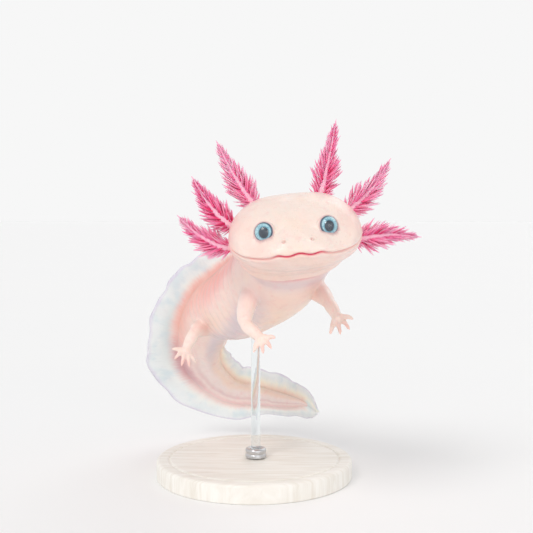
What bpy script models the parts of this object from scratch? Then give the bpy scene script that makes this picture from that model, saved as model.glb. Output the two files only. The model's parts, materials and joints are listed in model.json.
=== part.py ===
"""A young leucistic axolotl, life size, as a still museum model on a plain display stand.

It swims towards -Y: the trunk trails away behind the head and the tail curls round under it. The animal's
own left is +X at the head, and "right" and "left" in the names are the animal's. The origin is the middle
of the stand's underside, on the floor, with +Z up. The tables are in millimetres, and everything built is
in metres.
"""

import math
from collections import namedtuple

import bmesh
import bpy
import numpy as np

MM = 0.001
GAP = 0.3 * MM  # clearance between pieces that touch

# The spine, from the snout to the end of the tail fin. Each station has its place, the direction in which
# the back faces, the half-width of the flesh, its height above and below the spine, and the height of the
# dorsal and ventral fins over the flesh.
Station = namedtuple("Station", "name place back width top bottom fin_over fin_under")
SPINE = [
    Station("snout", (12.3, -66.3, 76.3), (-0.08, -0.20, 0.97), 18.0, 11.4, 10.0, 0.0, 0.0),
    Station("crown", (11.6, -43.5, 79.6), (-0.10, -0.08, 0.99), 18.0, 12.0, 10.2, 0.0, 0.0),
    Station("occiput", (11.2, -35.4, 78.4), (-0.14, 0.10, 0.97), 16.8, 11.6, 11.2, 0.3, 0.0),
    Station("nape", (10.2, -27.6, 74.8), (-0.22, 0.30, 0.92), 13.6, 10.8, 12.2, 0.4, 0.0),
    Station("chest", (7.4, -19.4, 69.6), (-0.36, 0.38, 0.86), 13.6, 11.4, 13.6, 2.6, 0.0),
    Station("belly", (-3.7, 1.4, 58.6), (-0.62, 0.12, 0.77), 13.4, 12.0, 12.8, 7.0, 0.0),
    Station("loin", (-12.0, 15.2, 53.3), (-0.78, 0.02, 0.62), 10.6, 10.8, 10.4, 8.6, 0.0),
    Station("hip", (-16.7, 23.9, 47.4), (-0.93, 0.0, 0.36), 8.8, 9.6, 8.8, 9.8, 0.0),
    Station("tail root", (-19.4, 32.4, 39.2), (-1.0, 0.05, 0.05), 6.8, 8.6, 7.2, 11.2, 2.6),
    Station("tail bend", (-18.0, 43.9, 28.1), (-0.86, 0.18, -0.45), 5.2, 7.4, 5.8, 12.4, 4.8),
    Station("tail sweep", (-9.7, 51.4, 18.7), (-0.42, 0.20, -0.88), 4.2, 5.6, 4.8, 7.6, 5.6),
    Station("tail middle", (2.3, 49.2, 16.6), (-0.08, 0.08, -0.99), 3.2, 4.0, 3.8, 3.6, 6.6),
    Station("tail taper", (12.7, 39.2, 16.5), (0.0, 0.0, -1.0), 2.2, 2.7, 2.7, 3.0, 5.6),
    Station("tail end", (19.2, 26.3, 17.7), (0.05, 0.0, -1.0), 0.8, 0.9, 0.9, 2.6, 3.0),
    Station("fin end", (22.1, 20.2, 16.5), (0.05, 0.0, -1.0), 0.3, 0.3, 0.3, 0.4, 0.4),
]
SNOUT_LENGTH = 23.5 * MM  # the stretch over which the head rounds off to the snout
WIDTH_ROUNDING = 2.5  # how blunt the snout is, from above and at its upper and lower edges: 1 is a wedge
TOP_ROUNDING = 1.4
BOTTOM_ROUNDING = 1.9
BACK_POWER = 0.90  # how square a section is above and below the spine: 1 is an ellipse, less is squarer
BELLY_POWER = 0.84
RING_POINTS = 22
RING_STEP = 5.0 * MM
SNOUT_RINGS = 9
SNOUT_FLAT = 0.06 * MM  # where the first ring is, so that it has some size
TANGENT_STEP = 0.2 * MM

# Distances along the spine, in millimetres, at which the flesh is parted: each is where that length ends.
CUTS = {
    "head": 30.5,
    "neck": 42.0,
    "shoulders": 62.0,
    "trunk": 92.5,
    "hips": 113.5,
    "tail_root": 132.5,
    "tail_middle": 157.5,
    "tail_end": 188.4,
}

# Fins: where they run along the spine, and their sections.
FIN_START = 42.5
VENT = 113.5
FIN_END = 195.2
FIN_STEP = 4.2 * MM
FIN_LEAST = 0.6 * MM  # the lowest that a fin gets
FIN_SINK = 0.8 * MM  # how deep its thick root starts inside the flesh
FIN_MIDDLE = 0.4  # a share of its height, where it bends
FIN_HALVES = [0.85 * MM, 0.85 * MM, 0.5 * MM, 0.3 * MM]  # half-thickness, from the spine out to the edge
FIN_SWAY = 0.07  # how far the edge waves to each side, as a share of its height
FIN_WAVE = 5.2 * MM

# Mouth: its height below the spine as a share of the jaw's depth, at the lip and at the corner.
MOUTH_FRONT = 0.42
MOUTH_CORNER = 0.06
MOUTH_LENGTH = 15.0 * MM
MOUTH_LOWEST = 0.9

# Eyes, in the head's own directions: forward of the crown, out to the side and up.
EYE_RADIUS = 2.75 * MM
EYE_SOCKET = EYE_RADIUS + GAP
EYE_PLACE = (15.9 * MM, 8.1 * MM, 4.2 * MM)
EYE_SEGMENTS = 14
EYE_RINGS = 10

# Gills: the angle round the body at which each grows, where its tip is and how far its middle bows.
Gill = namedtuple("Gill", "side name angle tip bow")
GILLS = [
    Gill("right", "upper", 60, (-10.7, -30.1, 107.0), (-0.6, 0.0, -0.2)),
    Gill("right", "middle", 24, (-17.8, -30.6, 96.6), (-0.8, 0.0, -1.2)),
    Gill("right", "lower", -2, (-22.0, -31.2, 85.3), (-0.6, 0.0, -1.8)),
    Gill("left", "upper", 60, (24.2, -29.8, 113.1), (0.4, 0.0, 0.2)),
    Gill("left", "middle", 24, (40.1, -30.4, 101.8), (0.8, 0.0, -1.4)),
    Gill("left", "lower", -10, (49.1, -31.6, 78.9), (0.4, 0.0, 0.8)),
]
GILL_ROOT = 29.5 * MM  # how far along the spine they all grow
GILL_DEPTH = 3.0 * MM
GILL_STALK = 1.5 * MM
GILL_PLUME = 2.9 * MM  # half-widths of the bare stalk and of the filaments at their longest
GILL_TIP = 0.3 * MM
GILL_BURIED = 0.14  # the share of a gill's line that is near or under the skin
GILL_THICKNESS = (1.35 * MM, 0.40 * MM)  # half of it, at the root and at the tip
GILL_FACING = (0, -1, 0.1)  # the flat of every plume faces forward
GILL_RINGS = 11
GILL_SIDES = 10

# Legs: places from inside the body to the wrist or ankle, then the tips of the digits.
Leg = namedtuple("Leg", "name joints radii digits sole")
LEGS = [
    Leg(
        "foreleg_right",
        [(1.5, -19.0, 64.0), (-1.3, -28.4, 60.4), (-1.9, -35.9, 54.1), (2.2, -41.0, 50.6)],
        (3.4, 3.0, 2.0, 1.5),
        [(6.6, -45.0, 51.2), (5.4, -46.4, 48.3), (3.1, -45.6, 46.8), (0.2, -43.0, 46.8)],
        (0.5, -0.6, 0.6),
    ),
    Leg(
        "foreleg_left",
        [(14.5, -15.5, 66.0), (19.6, -23.6, 62.4), (22.1, -32.6, 59.8), (24.0, -38.7, 56.4)],
        (3.4, 3.0, 2.0, 1.5),
        [(28.4, -41.8, 56.0), (27.2, -43.6, 53.2), (24.6, -43.6, 51.8), (21.8, -41.2, 51.6)],
        (0.2, -0.7, 0.6),
    ),
    Leg(
        "hindleg_right",
        [(-13.5, 17.0, 52.0), (-16.9, 8.4, 48.2), (-19.6, -0.4, 46.8), (-21.9, -3.2, 42.0)],
        (3.9, 3.3, 2.1, 1.5),
        [
            (-26.6, -5.0, 42.4),
            (-25.6, -6.6, 39.2),
            (-23.2, -7.0, 37.0),
            (-20.6, -5.8, 36.4),
            (-18.6, -3.2, 37.4),
        ],
        (-0.2, -0.9, 0.3),
    ),
    Leg(
        "hindleg_left",
        [(-12.0, 18.0, 52.0), (-7.6, 26.6, 57.4), (-5.6, 35.4, 58.8), (-9.4, 41.4, 55.2)],
        (3.9, 3.3, 2.1, 1.5),
        [
            (-9.6, 47.4, 55.6),
            (-12.2, 47.8, 54.2),
            (-14.8, 46.8, 53.0),
            (-16.0, 44.0, 52.2),
            (-15.0, 41.0, 51.8),
        ],
        (0.3, 0.6, 0.7),
    ),
]
LIMB_SIDES = 10
UPPER_STEP = 2.6 * MM
LOWER_STEP = 2.0 * MM
PALM_REACH = 0.36  # how far from the wrist to the toe tips the palm's middle is
PALM_SPREAD = 1.35  # half the palm's breadth at the toes, in wrist radii
PALM_OVERRUN = 0.6 * MM
PALM_FLARE = 0.75  # how much broader the palm gets, and how much thinner
PALM_THINNING = 0.45
PALM_RINGS = 5
DIGIT_SIDES = 6
DIGIT_SINK = 0.3 * MM
DIGIT_SHAPE = [(0.0, 0.85), (0.4, 0.75), (0.85, 0.52), (1.0, 0.17)]  # along it, and its radius in mm

# Stand: a round base with one rod up to the belly.
BASE_RADIUS = 32.0 * MM
BASE_HEIGHT = 6.0 * MM
BASE_EDGE = 1.2 * MM
BASE_SIDES = 40
ROD_RADIUS = 1.5 * MM
ROD_SIDES = 16
ROD_PLACE = (0.5 * MM, -1.0 * MM)
ROD_TOP = 54.0 * MM
FERRULE_RADIUS = 3.4 * MM
FERRULE_HEIGHT = 3.0 * MM
FERRULE_EDGE = 0.6 * MM
FERRULE_SIDES = 24

PALE_PINK = (0.91, 0.70, 0.62, 1.0)
GILL_CRIMSON = (0.62, 0.04, 0.14, 1.0)
FIN_WHITE = (0.74, 0.80, 0.83, 1.0)
EYE_BLUE = (0.22, 0.46, 0.55, 1.0)
STAND_WHITE = (0.85, 0.84, 0.81, 1.0)
ROD_CLEAR = (0.80, 0.84, 0.86, 1.0)


def unit(vectors):
    return vectors / np.linalg.norm(vectors, axis=-1, keepdims=True)


def smooth(knots, values, at):
    """The smooth curve through values at knots, read at the given places."""
    knots = np.asarray(knots, float)
    values = np.asarray(values, float)
    slopes = np.gradient(values, knots, axis=0)
    i = int(np.clip(np.searchsorted(knots, at, side="right") - 1, 0, len(knots) - 2))
    span = knots[i + 1] - knots[i]
    u = (at - knots[i]) / span
    start = (2 * u**3 - 3 * u**2 + 1) * values[i] + (u**3 - 2 * u**2 + u) * span * slopes[i]
    end = (3 * u**2 - 2 * u**3) * values[i + 1] + (u**3 - u**2) * span * slopes[i + 1]
    return start + end


class Path:
    """A smooth line through places, with the directions ahead, up and to the side at each distance."""

    def __init__(self, places, ups):
        self.places = np.array(places, float)
        self.ups = unit(np.array(ups, float))
        steps = np.linalg.norm(np.diff(self.places, axis=0), axis=1)
        self.knots = np.concatenate([[0.0], np.cumsum(steps)])
        self.length = float(self.knots[-1])

    def frame(self, s):
        place = smooth(self.knots, self.places, s)
        before = smooth(self.knots, self.places, s - TANGENT_STEP)
        after = smooth(self.knots, self.places, s + TANGENT_STEP)
        ahead = unit(after - before)
        up = smooth(self.knots, self.ups, s)
        up = unit(up - ahead * np.dot(up, ahead))
        return place, ahead, up, np.cross(ahead, up)


SPINE_PATH = Path([np.array(row.place) * MM for row in SPINE], [row.back for row in SPINE])


def head_directions():
    """The crown's place, and the directions to the snout, up and to the animal's left."""
    snout, crown = SPINE_PATH.places[:2]
    forward = unit(snout - crown)
    up = SPINE_PATH.ups[1]
    up = unit(up - forward * np.dot(up, forward))
    return crown, forward, up, np.cross(up, forward)


def spine_size(field, s):
    """A size from the spine's table at a distance along it, in metres."""
    return float(smooth(SPINE_PATH.knots, [getattr(row, field) for row in SPINE], s)) * MM


def rounding(s, reach, power):
    """0 at the snout's tip, growing to 1 at reach, as a superellipse does."""
    if s >= reach:
        return 1.0
    return (1 - (1 - max(s, 0.0) / reach) ** power) ** (1 / power)


def flesh_size(s, grow=0.0):
    """Half-width, height above and depth below the spine."""
    width = spine_size("width", s) * rounding(s, SNOUT_LENGTH, WIDTH_ROUNDING)
    top = spine_size("top", s) * rounding(s, SNOUT_LENGTH * 1.05, TOP_ROUNDING)
    bottom = spine_size("bottom", s) * rounding(s, SNOUT_LENGTH, BOTTOM_ROUNDING)
    return width + grow, top + grow, bottom + grow


def bend(value, power):
    return math.copysign(abs(value) ** power, value)


def flesh_point(s, angle, grow=0.0):
    """A point on the skin, at an angle counted from the animal's left flank up to its back."""
    place, _, up, side = SPINE_PATH.frame(s)
    width, top, bottom = flesh_size(s, grow)
    power = BACK_POWER if math.sin(angle) > 0 else BELLY_POWER
    across = width * bend(math.cos(angle), power)
    rise = (top if math.sin(angle) > 0 else bottom) * bend(math.sin(angle), power)
    return place + across * side + rise * up


def flesh_ring(s, grow=0.0, first=0.0, last=2 * math.pi, closed=True):
    turns = np.linspace(first, last, RING_POINTS, endpoint=not closed)
    return [flesh_point(s, turn, grow) for turn in turns]


def mouth_angle(s, side_gap):
    """How far below the flank the mouth runs round the head, as an angle."""
    along = min(s / MOUTH_LENGTH, 1.0)
    share = MOUTH_FRONT + (MOUTH_CORNER - MOUTH_FRONT) * along
    bottom = flesh_size(s)[2]
    depth = min(max(share + side_gap / bottom, 0.0), MOUTH_LOWEST)
    return math.asin(depth ** (1 / BELLY_POWER))


def material(name, colour, roughness):
    made = bpy.data.materials.new(name)
    made.use_nodes = True
    shader = made.node_tree.nodes["Principled BSDF"]
    shader.inputs["Base Color"].default_value = colour
    shader.inputs["Roughness"].default_value = roughness
    shader.inputs["Metallic"].default_value = 0.0
    return made


def add_object(name, mesh, collection, finish):
    """Puts a mesh in the model as one named part with a material of its own."""
    mesh.materials.clear()
    mesh.materials.append(material(name + "_finish", *finish))
    mesh.shade_smooth()
    mesh.set_sharp_from_angle(angle=math.radians(50))
    made = bpy.data.objects.new(name, mesh)
    collection.objects.link(made)
    return made


def loft(name, rings):
    """A closed mesh through rings of equally many points, with flat ends."""
    shape = bmesh.new()
    loops = [[shape.verts.new(point) for point in ring] for ring in rings]
    for one, other in zip(loops, loops[1:]):
        for i in range(len(one)):
            j = (i + 1) % len(one)
            shape.faces.new((one[i], one[j], other[j], other[i]))
    shape.faces.new(loops[0])
    shape.faces.new(loops[-1])
    return finish_mesh(shape, name)


def finish_mesh(shape, name):
    bmesh.ops.triangulate(shape, faces=shape.faces[:])
    bmesh.ops.recalc_face_normals(shape, faces=shape.faces[:])
    mesh = bpy.data.meshes.new(name)
    shape.to_mesh(mesh)
    shape.free()
    return mesh


def cutter(name, mesh, hidden):
    made = bpy.data.objects.new(name, mesh)
    made.hide_render = True
    made.display_type = "WIRE"
    hidden.objects.link(made)
    return made


def boolean(target, other, operation="DIFFERENCE"):
    change = target.modifiers.new(operation.title(), "BOOLEAN")
    change.operation = operation
    change.solver = "EXACT"
    change.object = other
    return change


def ring_places(start, end, step):
    count = max(2, round((end - start) / step) + 1)
    return np.linspace(start, end, count)


def snout_places(end):
    """Ring places that crowd towards the snout's tip."""
    turns = np.linspace(0, math.pi / 2, SNOUT_RINGS)
    front = SNOUT_LENGTH * (1 - np.cos(turns))
    front[0] = SNOUT_FLAT
    return np.concatenate([front, ring_places(SNOUT_LENGTH, end, RING_STEP)[1:]])


def length_places(before, name):
    """Ring places of one length of the body, just short of both its cuts."""
    return ring_places(CUTS[before] * MM + GAP / 2, CUTS[name] * MM - GAP / 2, RING_STEP)


def body_cutter(hidden):
    """The whole body a gap larger all round, which trims whatever grows from it."""
    names = list(CUTS)
    places = list(snout_places(CUTS["head"] * MM - GAP / 2))
    for before, name in zip(names, names[1:]):
        places.extend(length_places(before, name))
    mesh = loft("body_clearance", [flesh_ring(s, GAP) for s in places])
    return cutter("body_clearance", mesh, hidden)


def build_head(collection, hidden):
    """The head above the mouth with its eye sockets, the lower jaw and the eyes."""
    skin = (PALE_PINK, 0.45)
    end = CUTS["head"] * MM - GAP / 2
    upper, lower = [], []
    for s in snout_places(end):
        above = mouth_angle(s, -GAP / 2)
        below = mouth_angle(s, GAP / 2)
        upper.append(flesh_ring(s, 0.0, -above, math.pi + above, closed=False))
        lower.append(flesh_ring(s, 0.0, math.pi + below, 2 * math.pi - below, closed=False))
    head = add_object("head", loft("head", upper), collection, skin)
    add_object("lower_jaw", loft("lower_jaw", lower), collection, skin)

    crown, forward, up, side = head_directions()
    ahead, out, rise = EYE_PLACE
    for name, sign in (("left", 1), ("right", -1)):
        at = crown + ahead * forward + sign * out * side + rise * up
        eye = add_object(f"eye_{name}", ball(f"eye_{name}", EYE_RADIUS, at), collection, (EYE_BLUE, 0.1))
        eye.data.shade_smooth()
        socket = cutter(f"socket_{name}", ball(f"socket_{name}", EYE_SOCKET, at), hidden)
        boolean(head, socket)


def ball(name, radius, at):
    shape = bmesh.new()
    bmesh.ops.create_uvsphere(shape, u_segments=EYE_SEGMENTS, v_segments=EYE_RINGS, radius=radius)
    bmesh.ops.translate(shape, verts=shape.verts[:], vec=tuple(at))
    return finish_mesh(shape, name)


def build_body(collection):
    """Neck, trunk and tail, parted by thin flat cuts across the spine."""
    names = list(CUTS)
    for before, name in zip(names, names[1:]):
        rings = [flesh_ring(s) for s in length_places(before, name)]
        add_object(name, loft(name, rings), collection, (PALE_PINK, 0.45))


def fin_ring(s, sign, height_field):
    """A section across a fin, from the spine out to its thin edge."""
    place, _, up, side = SPINE_PATH.frame(s)
    _, top, bottom = flesh_size(s)
    flesh = top if sign > 0 else bottom
    height = max(spine_size(height_field, s), FIN_LEAST)
    levels = [GAP / 2, max(flesh - FIN_SINK, GAP), flesh + FIN_MIDDLE * height, flesh + height]
    sway = FIN_SWAY * height * math.sin(s / FIN_WAVE)
    leans = [0.0, 0.0, FIN_MIDDLE * sway, sway]
    rows = list(zip(levels, FIN_HALVES, leans))
    one = [place + sign * level * up + (lean + half) * side for level, half, lean in rows]
    other = [place + sign * level * up + (lean - half) * side for level, half, lean in rows]
    return one + other[::-1]


def build_fins(collection, body):
    """The fin along the back and tail, and the one under the tail, each in a few lengths."""
    lengths = [
        ("dorsal_fin_back", 1, FIN_START, CUTS["trunk"]),
        ("dorsal_fin_hips", 1, CUTS["trunk"], CUTS["tail_root"]),
        ("dorsal_fin_tail", 1, CUTS["tail_root"], CUTS["tail_middle"]),
        ("dorsal_fin_tip", 1, CUTS["tail_middle"], FIN_END),
        ("ventral_fin_tail", -1, VENT, CUTS["tail_middle"]),
        ("ventral_fin_tip", -1, CUTS["tail_middle"], FIN_END),
    ]
    for name, sign, start, end in lengths:
        field = "fin_over" if sign > 0 else "fin_under"
        places = ring_places(start * MM + GAP / 2, end * MM - GAP / 2, FIN_STEP)
        rings = [fin_ring(s, sign, field) for s in places]
        fin = add_object(name, loft(name, rings), collection, (FIN_WHITE, 0.35))
        boolean(fin, body)


def gill_half_width(u):
    """From the stalk out to the plume's widest, then in to its tip."""
    plume = math.sin(math.pi * u**0.75) ** 0.8 if 0 < u < 1 else 0.0
    return GILL_STALK * (1 - u) + GILL_PLUME * plume * (1 - 0.25 * u) + GILL_TIP * u


def build_gills(collection, body):
    """Six external gills, each a flattened plume out to the tips of its filaments."""
    for gill in GILLS:
        sign = 1 if gill.side == "left" else -1
        turn = math.radians(gill.angle)
        angle = turn if sign > 0 else math.pi - turn
        root = flesh_point(GILL_ROOT, angle)
        inside = flesh_point(GILL_ROOT, angle, -GILL_DEPTH)
        tip = np.array(gill.tip) * MM
        middle = (root + tip) / 2 + np.array(gill.bow) * MM
        path = Path([inside, root, middle, tip], [GILL_FACING] * 4)
        rings = []
        for share in np.linspace(0, 1, GILL_RINGS):
            place, _, up, side = path.frame(share * path.length)
            u = max((share - GILL_BURIED) / (1 - GILL_BURIED), 0.0)
            half = gill_half_width(u)
            thick = GILL_THICKNESS[0] + (GILL_THICKNESS[1] - GILL_THICKNESS[0]) * u
            turns = np.linspace(0, 2 * math.pi, GILL_SIDES, endpoint=False)
            rings.append([place + half * math.cos(t) * side + thick * math.sin(t) * up for t in turns])
        name = f"gill_{gill.side}_{gill.name}"
        made = add_object(name, loft(name, rings), collection, (GILL_CRIMSON, 0.4))
        boolean(made, body)


def limb_rings(path, radii, start, end, step):
    rings = []
    knots = path.knots
    for s in ring_places(start, end, step):
        place, _, up, side = path.frame(s)
        radius = float(np.interp(s, knots, radii))
        turns = np.linspace(0, 2 * math.pi, LIMB_SIDES, endpoint=False)
        rings.append([place + radius * (math.cos(t) * side + math.sin(t) * up) for t in turns])
    return rings


def digit_mesh(name, root, tip, sole):
    """A tapering toe with a round end, arched a little away from its sole."""
    path = Path([root, (root + tip) / 2 + DIGIT_SINK * sole, tip], [sole] * 3)
    rings = []
    for u, radius in DIGIT_SHAPE:
        place, _, up, side = path.frame(u * path.length)
        turns = np.linspace(0, 2 * math.pi, DIGIT_SIDES, endpoint=False)
        rings.append([place + radius * MM * (math.cos(t) * side + math.sin(t) * up) for t in turns])
    return loft(name, rings)


def build_leg(leg, collection, hidden, body):
    """Upper limb, lower limb and foot, parted at the elbow or knee and at the wrist or ankle."""
    joints = [np.array(place) * MM for place in leg.joints]
    radii = [radius * MM for radius in leg.radii]
    sole = unit(np.array(leg.sole))
    tips = [np.array(tip) * MM for tip in leg.digits]
    heel = joints[3]
    palm = heel + PALM_REACH * (sum(tips) / len(tips) - heel)
    path = Path(joints + [palm], [sole] * 5)
    knee, ankle = path.knots[2], path.knots[3]
    skin = (PALE_PINK, 0.45)

    upper = limb_rings(path, radii + [radii[-1]], 0.0, knee - GAP / 2, UPPER_STEP)
    upper_limb = add_object(leg.name + "_upper", loft(leg.name + "_upper", upper), collection, skin)
    boolean(upper_limb, body)
    lower = limb_rings(path, radii + [radii[-1]], knee + GAP / 2, ankle - GAP / 2, LOWER_STEP)
    add_object(leg.name + "_lower", loft(leg.name + "_lower", lower), collection, skin)

    rings = []
    spread = unit(tips[0] - tips[-1])
    palm_end = path.length + PALM_OVERRUN
    for s in np.linspace(ankle + GAP / 2, palm_end, PALM_RINGS):
        place, ahead, _, _ = path.frame(s)
        u = (s - ankle) / (palm_end - ankle)
        broad = unit(spread - ahead * np.dot(spread, ahead))
        flat = np.cross(ahead, broad)
        wide = radii[-1] * (1.0 + PALM_FLARE * math.sin(u * math.pi * 0.75))
        thin = radii[-1] * (1.0 - PALM_THINNING * u)
        turns = np.linspace(0, 2 * math.pi, LIMB_SIDES, endpoint=False)
        rings.append([place + wide * math.cos(t) * broad + thin * math.sin(t) * flat for t in turns])
    foot = add_object(leg.name + "_foot", loft(leg.name + "_foot", rings), collection, skin)
    last = len(tips) - 1
    for number, tip in enumerate(tips):
        across = (1 - 2 * number / last) * PALM_SPREAD * radii[-1]
        spot = palm + across * spread - DIGIT_SINK * unit(palm - heel)
        name = f"{leg.name}_digit_{number + 1}"
        boolean(foot, cutter(name, digit_mesh(name, spot, tip, sole), hidden), "UNION")


def cylinder(name, radius, bottom, top, at, segments, edge=0.0):
    shape = bmesh.new()
    bmesh.ops.create_cone(
        shape, cap_ends=True, segments=segments, radius1=radius, radius2=radius, depth=top - bottom
    )
    bmesh.ops.translate(shape, verts=shape.verts[:], vec=(at[0], at[1], (top + bottom) / 2))
    if edge:
        rim = [e for e in shape.edges if all(v.co.z > top - GAP for v in e.verts)]
        bmesh.ops.bevel(shape, geom=rim, offset=edge, segments=2, profile=0.5, affect="EDGES")
    return finish_mesh(shape, name)


def build_stand(collection, body):
    base = cylinder("stand_base", BASE_RADIUS, 0.0, BASE_HEIGHT, (0.0, 0.0), BASE_SIDES, BASE_EDGE)
    add_object("stand_base", base, collection, (STAND_WHITE, 0.35))
    ferrule_bottom = BASE_HEIGHT + GAP
    ferrule_top = ferrule_bottom + FERRULE_HEIGHT
    ferrule = cylinder(
        "stand_ferrule", FERRULE_RADIUS, ferrule_bottom, ferrule_top, ROD_PLACE, FERRULE_SIDES, FERRULE_EDGE
    )
    add_object("stand_ferrule", ferrule, collection, (ROD_CLEAR, 0.3))
    rod = cylinder("stand_rod", ROD_RADIUS, ferrule_top + GAP, ROD_TOP, ROD_PLACE, ROD_SIDES)
    boolean(add_object("stand_rod", rod, collection, (ROD_CLEAR, 0.2)), body)


def main():
    for old in list(bpy.data.objects):
        bpy.data.objects.remove(old, do_unlink=True)
    scene = bpy.context.scene
    collection = bpy.data.collections.new("axolotl")
    hidden = bpy.data.collections.new("axolotl_cutters")
    scene.collection.children.link(collection)
    scene.collection.children.link(hidden)

    body = body_cutter(hidden)
    build_head(collection, hidden)
    build_body(collection)
    build_fins(collection, body)
    build_gills(collection, body)
    for leg in LEGS:
        build_leg(leg, collection, hidden, body)
    build_stand(collection, body)


main()
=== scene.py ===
"""Looks of the life-size leucistic axolotl on its display stand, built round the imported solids.

Everything is in metres in the solids' own frame: +Z up, the snout towards -Y, the animal's left at +X at
the head. The spine, legs and gills repeat the driving tables of the solids, in millimetres.
"""

import json
import math
from collections import namedtuple

import bmesh
import bpy
import numpy as np
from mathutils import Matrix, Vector
from mathutils.bvhtree import BVHTree

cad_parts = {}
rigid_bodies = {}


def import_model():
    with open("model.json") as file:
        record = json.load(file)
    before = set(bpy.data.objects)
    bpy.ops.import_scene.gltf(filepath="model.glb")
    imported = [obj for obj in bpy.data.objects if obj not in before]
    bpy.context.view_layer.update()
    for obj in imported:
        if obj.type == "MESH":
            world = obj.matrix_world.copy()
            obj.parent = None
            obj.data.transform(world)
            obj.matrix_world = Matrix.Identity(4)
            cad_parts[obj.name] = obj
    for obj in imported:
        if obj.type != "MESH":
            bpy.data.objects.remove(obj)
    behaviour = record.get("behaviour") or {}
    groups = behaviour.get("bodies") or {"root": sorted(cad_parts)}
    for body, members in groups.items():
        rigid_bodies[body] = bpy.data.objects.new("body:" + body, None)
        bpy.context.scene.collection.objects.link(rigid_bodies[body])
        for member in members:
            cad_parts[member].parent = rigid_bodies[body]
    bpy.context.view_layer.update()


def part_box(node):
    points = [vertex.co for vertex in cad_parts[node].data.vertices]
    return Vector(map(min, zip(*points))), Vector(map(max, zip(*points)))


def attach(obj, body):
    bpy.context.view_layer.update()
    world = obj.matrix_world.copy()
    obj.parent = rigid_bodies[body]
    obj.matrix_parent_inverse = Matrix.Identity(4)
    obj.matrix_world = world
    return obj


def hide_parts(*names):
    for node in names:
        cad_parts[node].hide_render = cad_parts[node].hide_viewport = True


for startup in list(bpy.data.objects):
    bpy.data.objects.remove(startup)
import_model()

MM = 0.001
TURN = 2 * math.pi

# The spine, from the snout to the end of the tail fin: place, the way the back faces, half-width, height
# above and depth below the spine, and the height of the two fins over the flesh.
Station = namedtuple("Station", "name place back width top bottom fin_over fin_under")
SPINE = [
    Station("snout", (12.3, -66.3, 76.3), (-0.08, -0.20, 0.97), 18.0, 11.4, 10.0, 0.0, 0.0),
    Station("crown", (11.6, -43.5, 79.6), (-0.10, -0.08, 0.99), 18.0, 12.0, 10.2, 0.0, 0.0),
    Station("occiput", (11.2, -35.4, 78.4), (-0.14, 0.10, 0.97), 16.8, 11.6, 11.2, 0.3, 0.0),
    Station("nape", (10.2, -27.6, 74.8), (-0.22, 0.30, 0.92), 13.6, 10.8, 12.2, 0.4, 0.0),
    Station("chest", (7.4, -19.4, 69.6), (-0.36, 0.38, 0.86), 13.6, 11.4, 13.6, 2.6, 0.0),
    Station("belly", (-3.7, 1.4, 58.6), (-0.62, 0.12, 0.77), 13.4, 12.0, 12.8, 7.0, 0.0),
    Station("loin", (-12.0, 15.2, 53.3), (-0.78, 0.02, 0.62), 10.6, 10.8, 10.4, 8.6, 0.0),
    Station("hip", (-16.7, 23.9, 47.4), (-0.93, 0.0, 0.36), 8.8, 9.6, 8.8, 9.8, 0.0),
    Station("tail root", (-19.4, 32.4, 39.2), (-1.0, 0.05, 0.05), 6.8, 8.6, 7.2, 11.2, 2.6),
    Station("tail bend", (-18.0, 43.9, 28.1), (-0.86, 0.18, -0.45), 5.2, 7.4, 5.8, 12.4, 4.8),
    Station("tail sweep", (-9.7, 51.4, 18.7), (-0.42, 0.20, -0.88), 4.2, 5.6, 4.8, 7.6, 5.6),
    Station("tail middle", (2.3, 49.2, 16.6), (-0.08, 0.08, -0.99), 3.2, 4.0, 3.8, 3.6, 6.6),
    Station("tail taper", (12.7, 39.2, 16.5), (0.0, 0.0, -1.0), 2.2, 2.7, 2.7, 3.0, 5.6),
    Station("tail end", (19.2, 26.3, 17.7), (0.05, 0.0, -1.0), 0.8, 0.9, 0.9, 2.6, 3.0),
    Station("fin end", (22.1, 20.2, 16.5), (0.05, 0.0, -1.0), 0.3, 0.3, 0.3, 0.4, 0.4),
]
SNOUT_LENGTH = 23.5 * MM
WIDTH_ROUNDING = 2.5
TOP_ROUNDING = 1.4
BOTTOM_ROUNDING = 1.9
BACK_POWER = 0.90
BELLY_POWER = 0.84
FLESH_END = 189.0 * MM

FIN_START = 41.0 * MM
VENT = 112.0 * MM
FIN_END = 195.3 * MM
FIN_LEAST = 0.5 * MM
FIN_SWAY = 0.07
FIN_WAVE = 5.2 * MM
FIN_STEP = 0.45 * MM
FIN_RIM = 0.004  # the least share of the fin's thickness at its rim, squared

MOUTH_CORNER = 82  # degrees round the head from the snout

EYE_RADIUS = 2.75 * MM
CORNEA_RADIUS = EYE_RADIUS * 1.012
EYE_SIDES = 64
EYE_PLACE = (15.9 * MM, 8.1 * MM, 4.2 * MM)
EYE_AXIS = (0.88, 0.38, 0.29)  # forward, out to the side and up
EYE_GAZE = (0.97, 0.18, 0.16)
EYE_OPENING = math.radians(66)
IRIS_ANGLE = math.radians(66)
IRIS_BULGE = 1.3 * MM
PUPIL = 1.28 * MM

Gill = namedtuple("Gill", "side name angle tip bow tone")
GILLS = [
    Gill("right", "upper", 60, (-10.7, -30.1, 107.0), (-0.6, 0.0, -0.2), 0.25),
    Gill("right", "middle", 24, (-17.8, -30.6, 96.6), (-0.8, 0.0, -1.2), 0.75),
    Gill("right", "lower", -2, (-22.0, -31.2, 85.3), (-0.6, 0.0, -1.8), 0.5),
    Gill("left", "upper", 60, (24.2, -29.8, 113.1), (0.4, 0.0, 0.2), 0.6),
    Gill("left", "middle", 24, (40.1, -30.4, 101.8), (0.8, 0.0, -1.4), 0.25),
    Gill("left", "lower", -10, (49.1, -31.6, 78.9), (0.4, 0.0, 0.8), 0.5),
]
GILL_ROOT = 29.5 * MM
GILL_FACING = (0.0, -1.0, 0.1)

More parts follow.
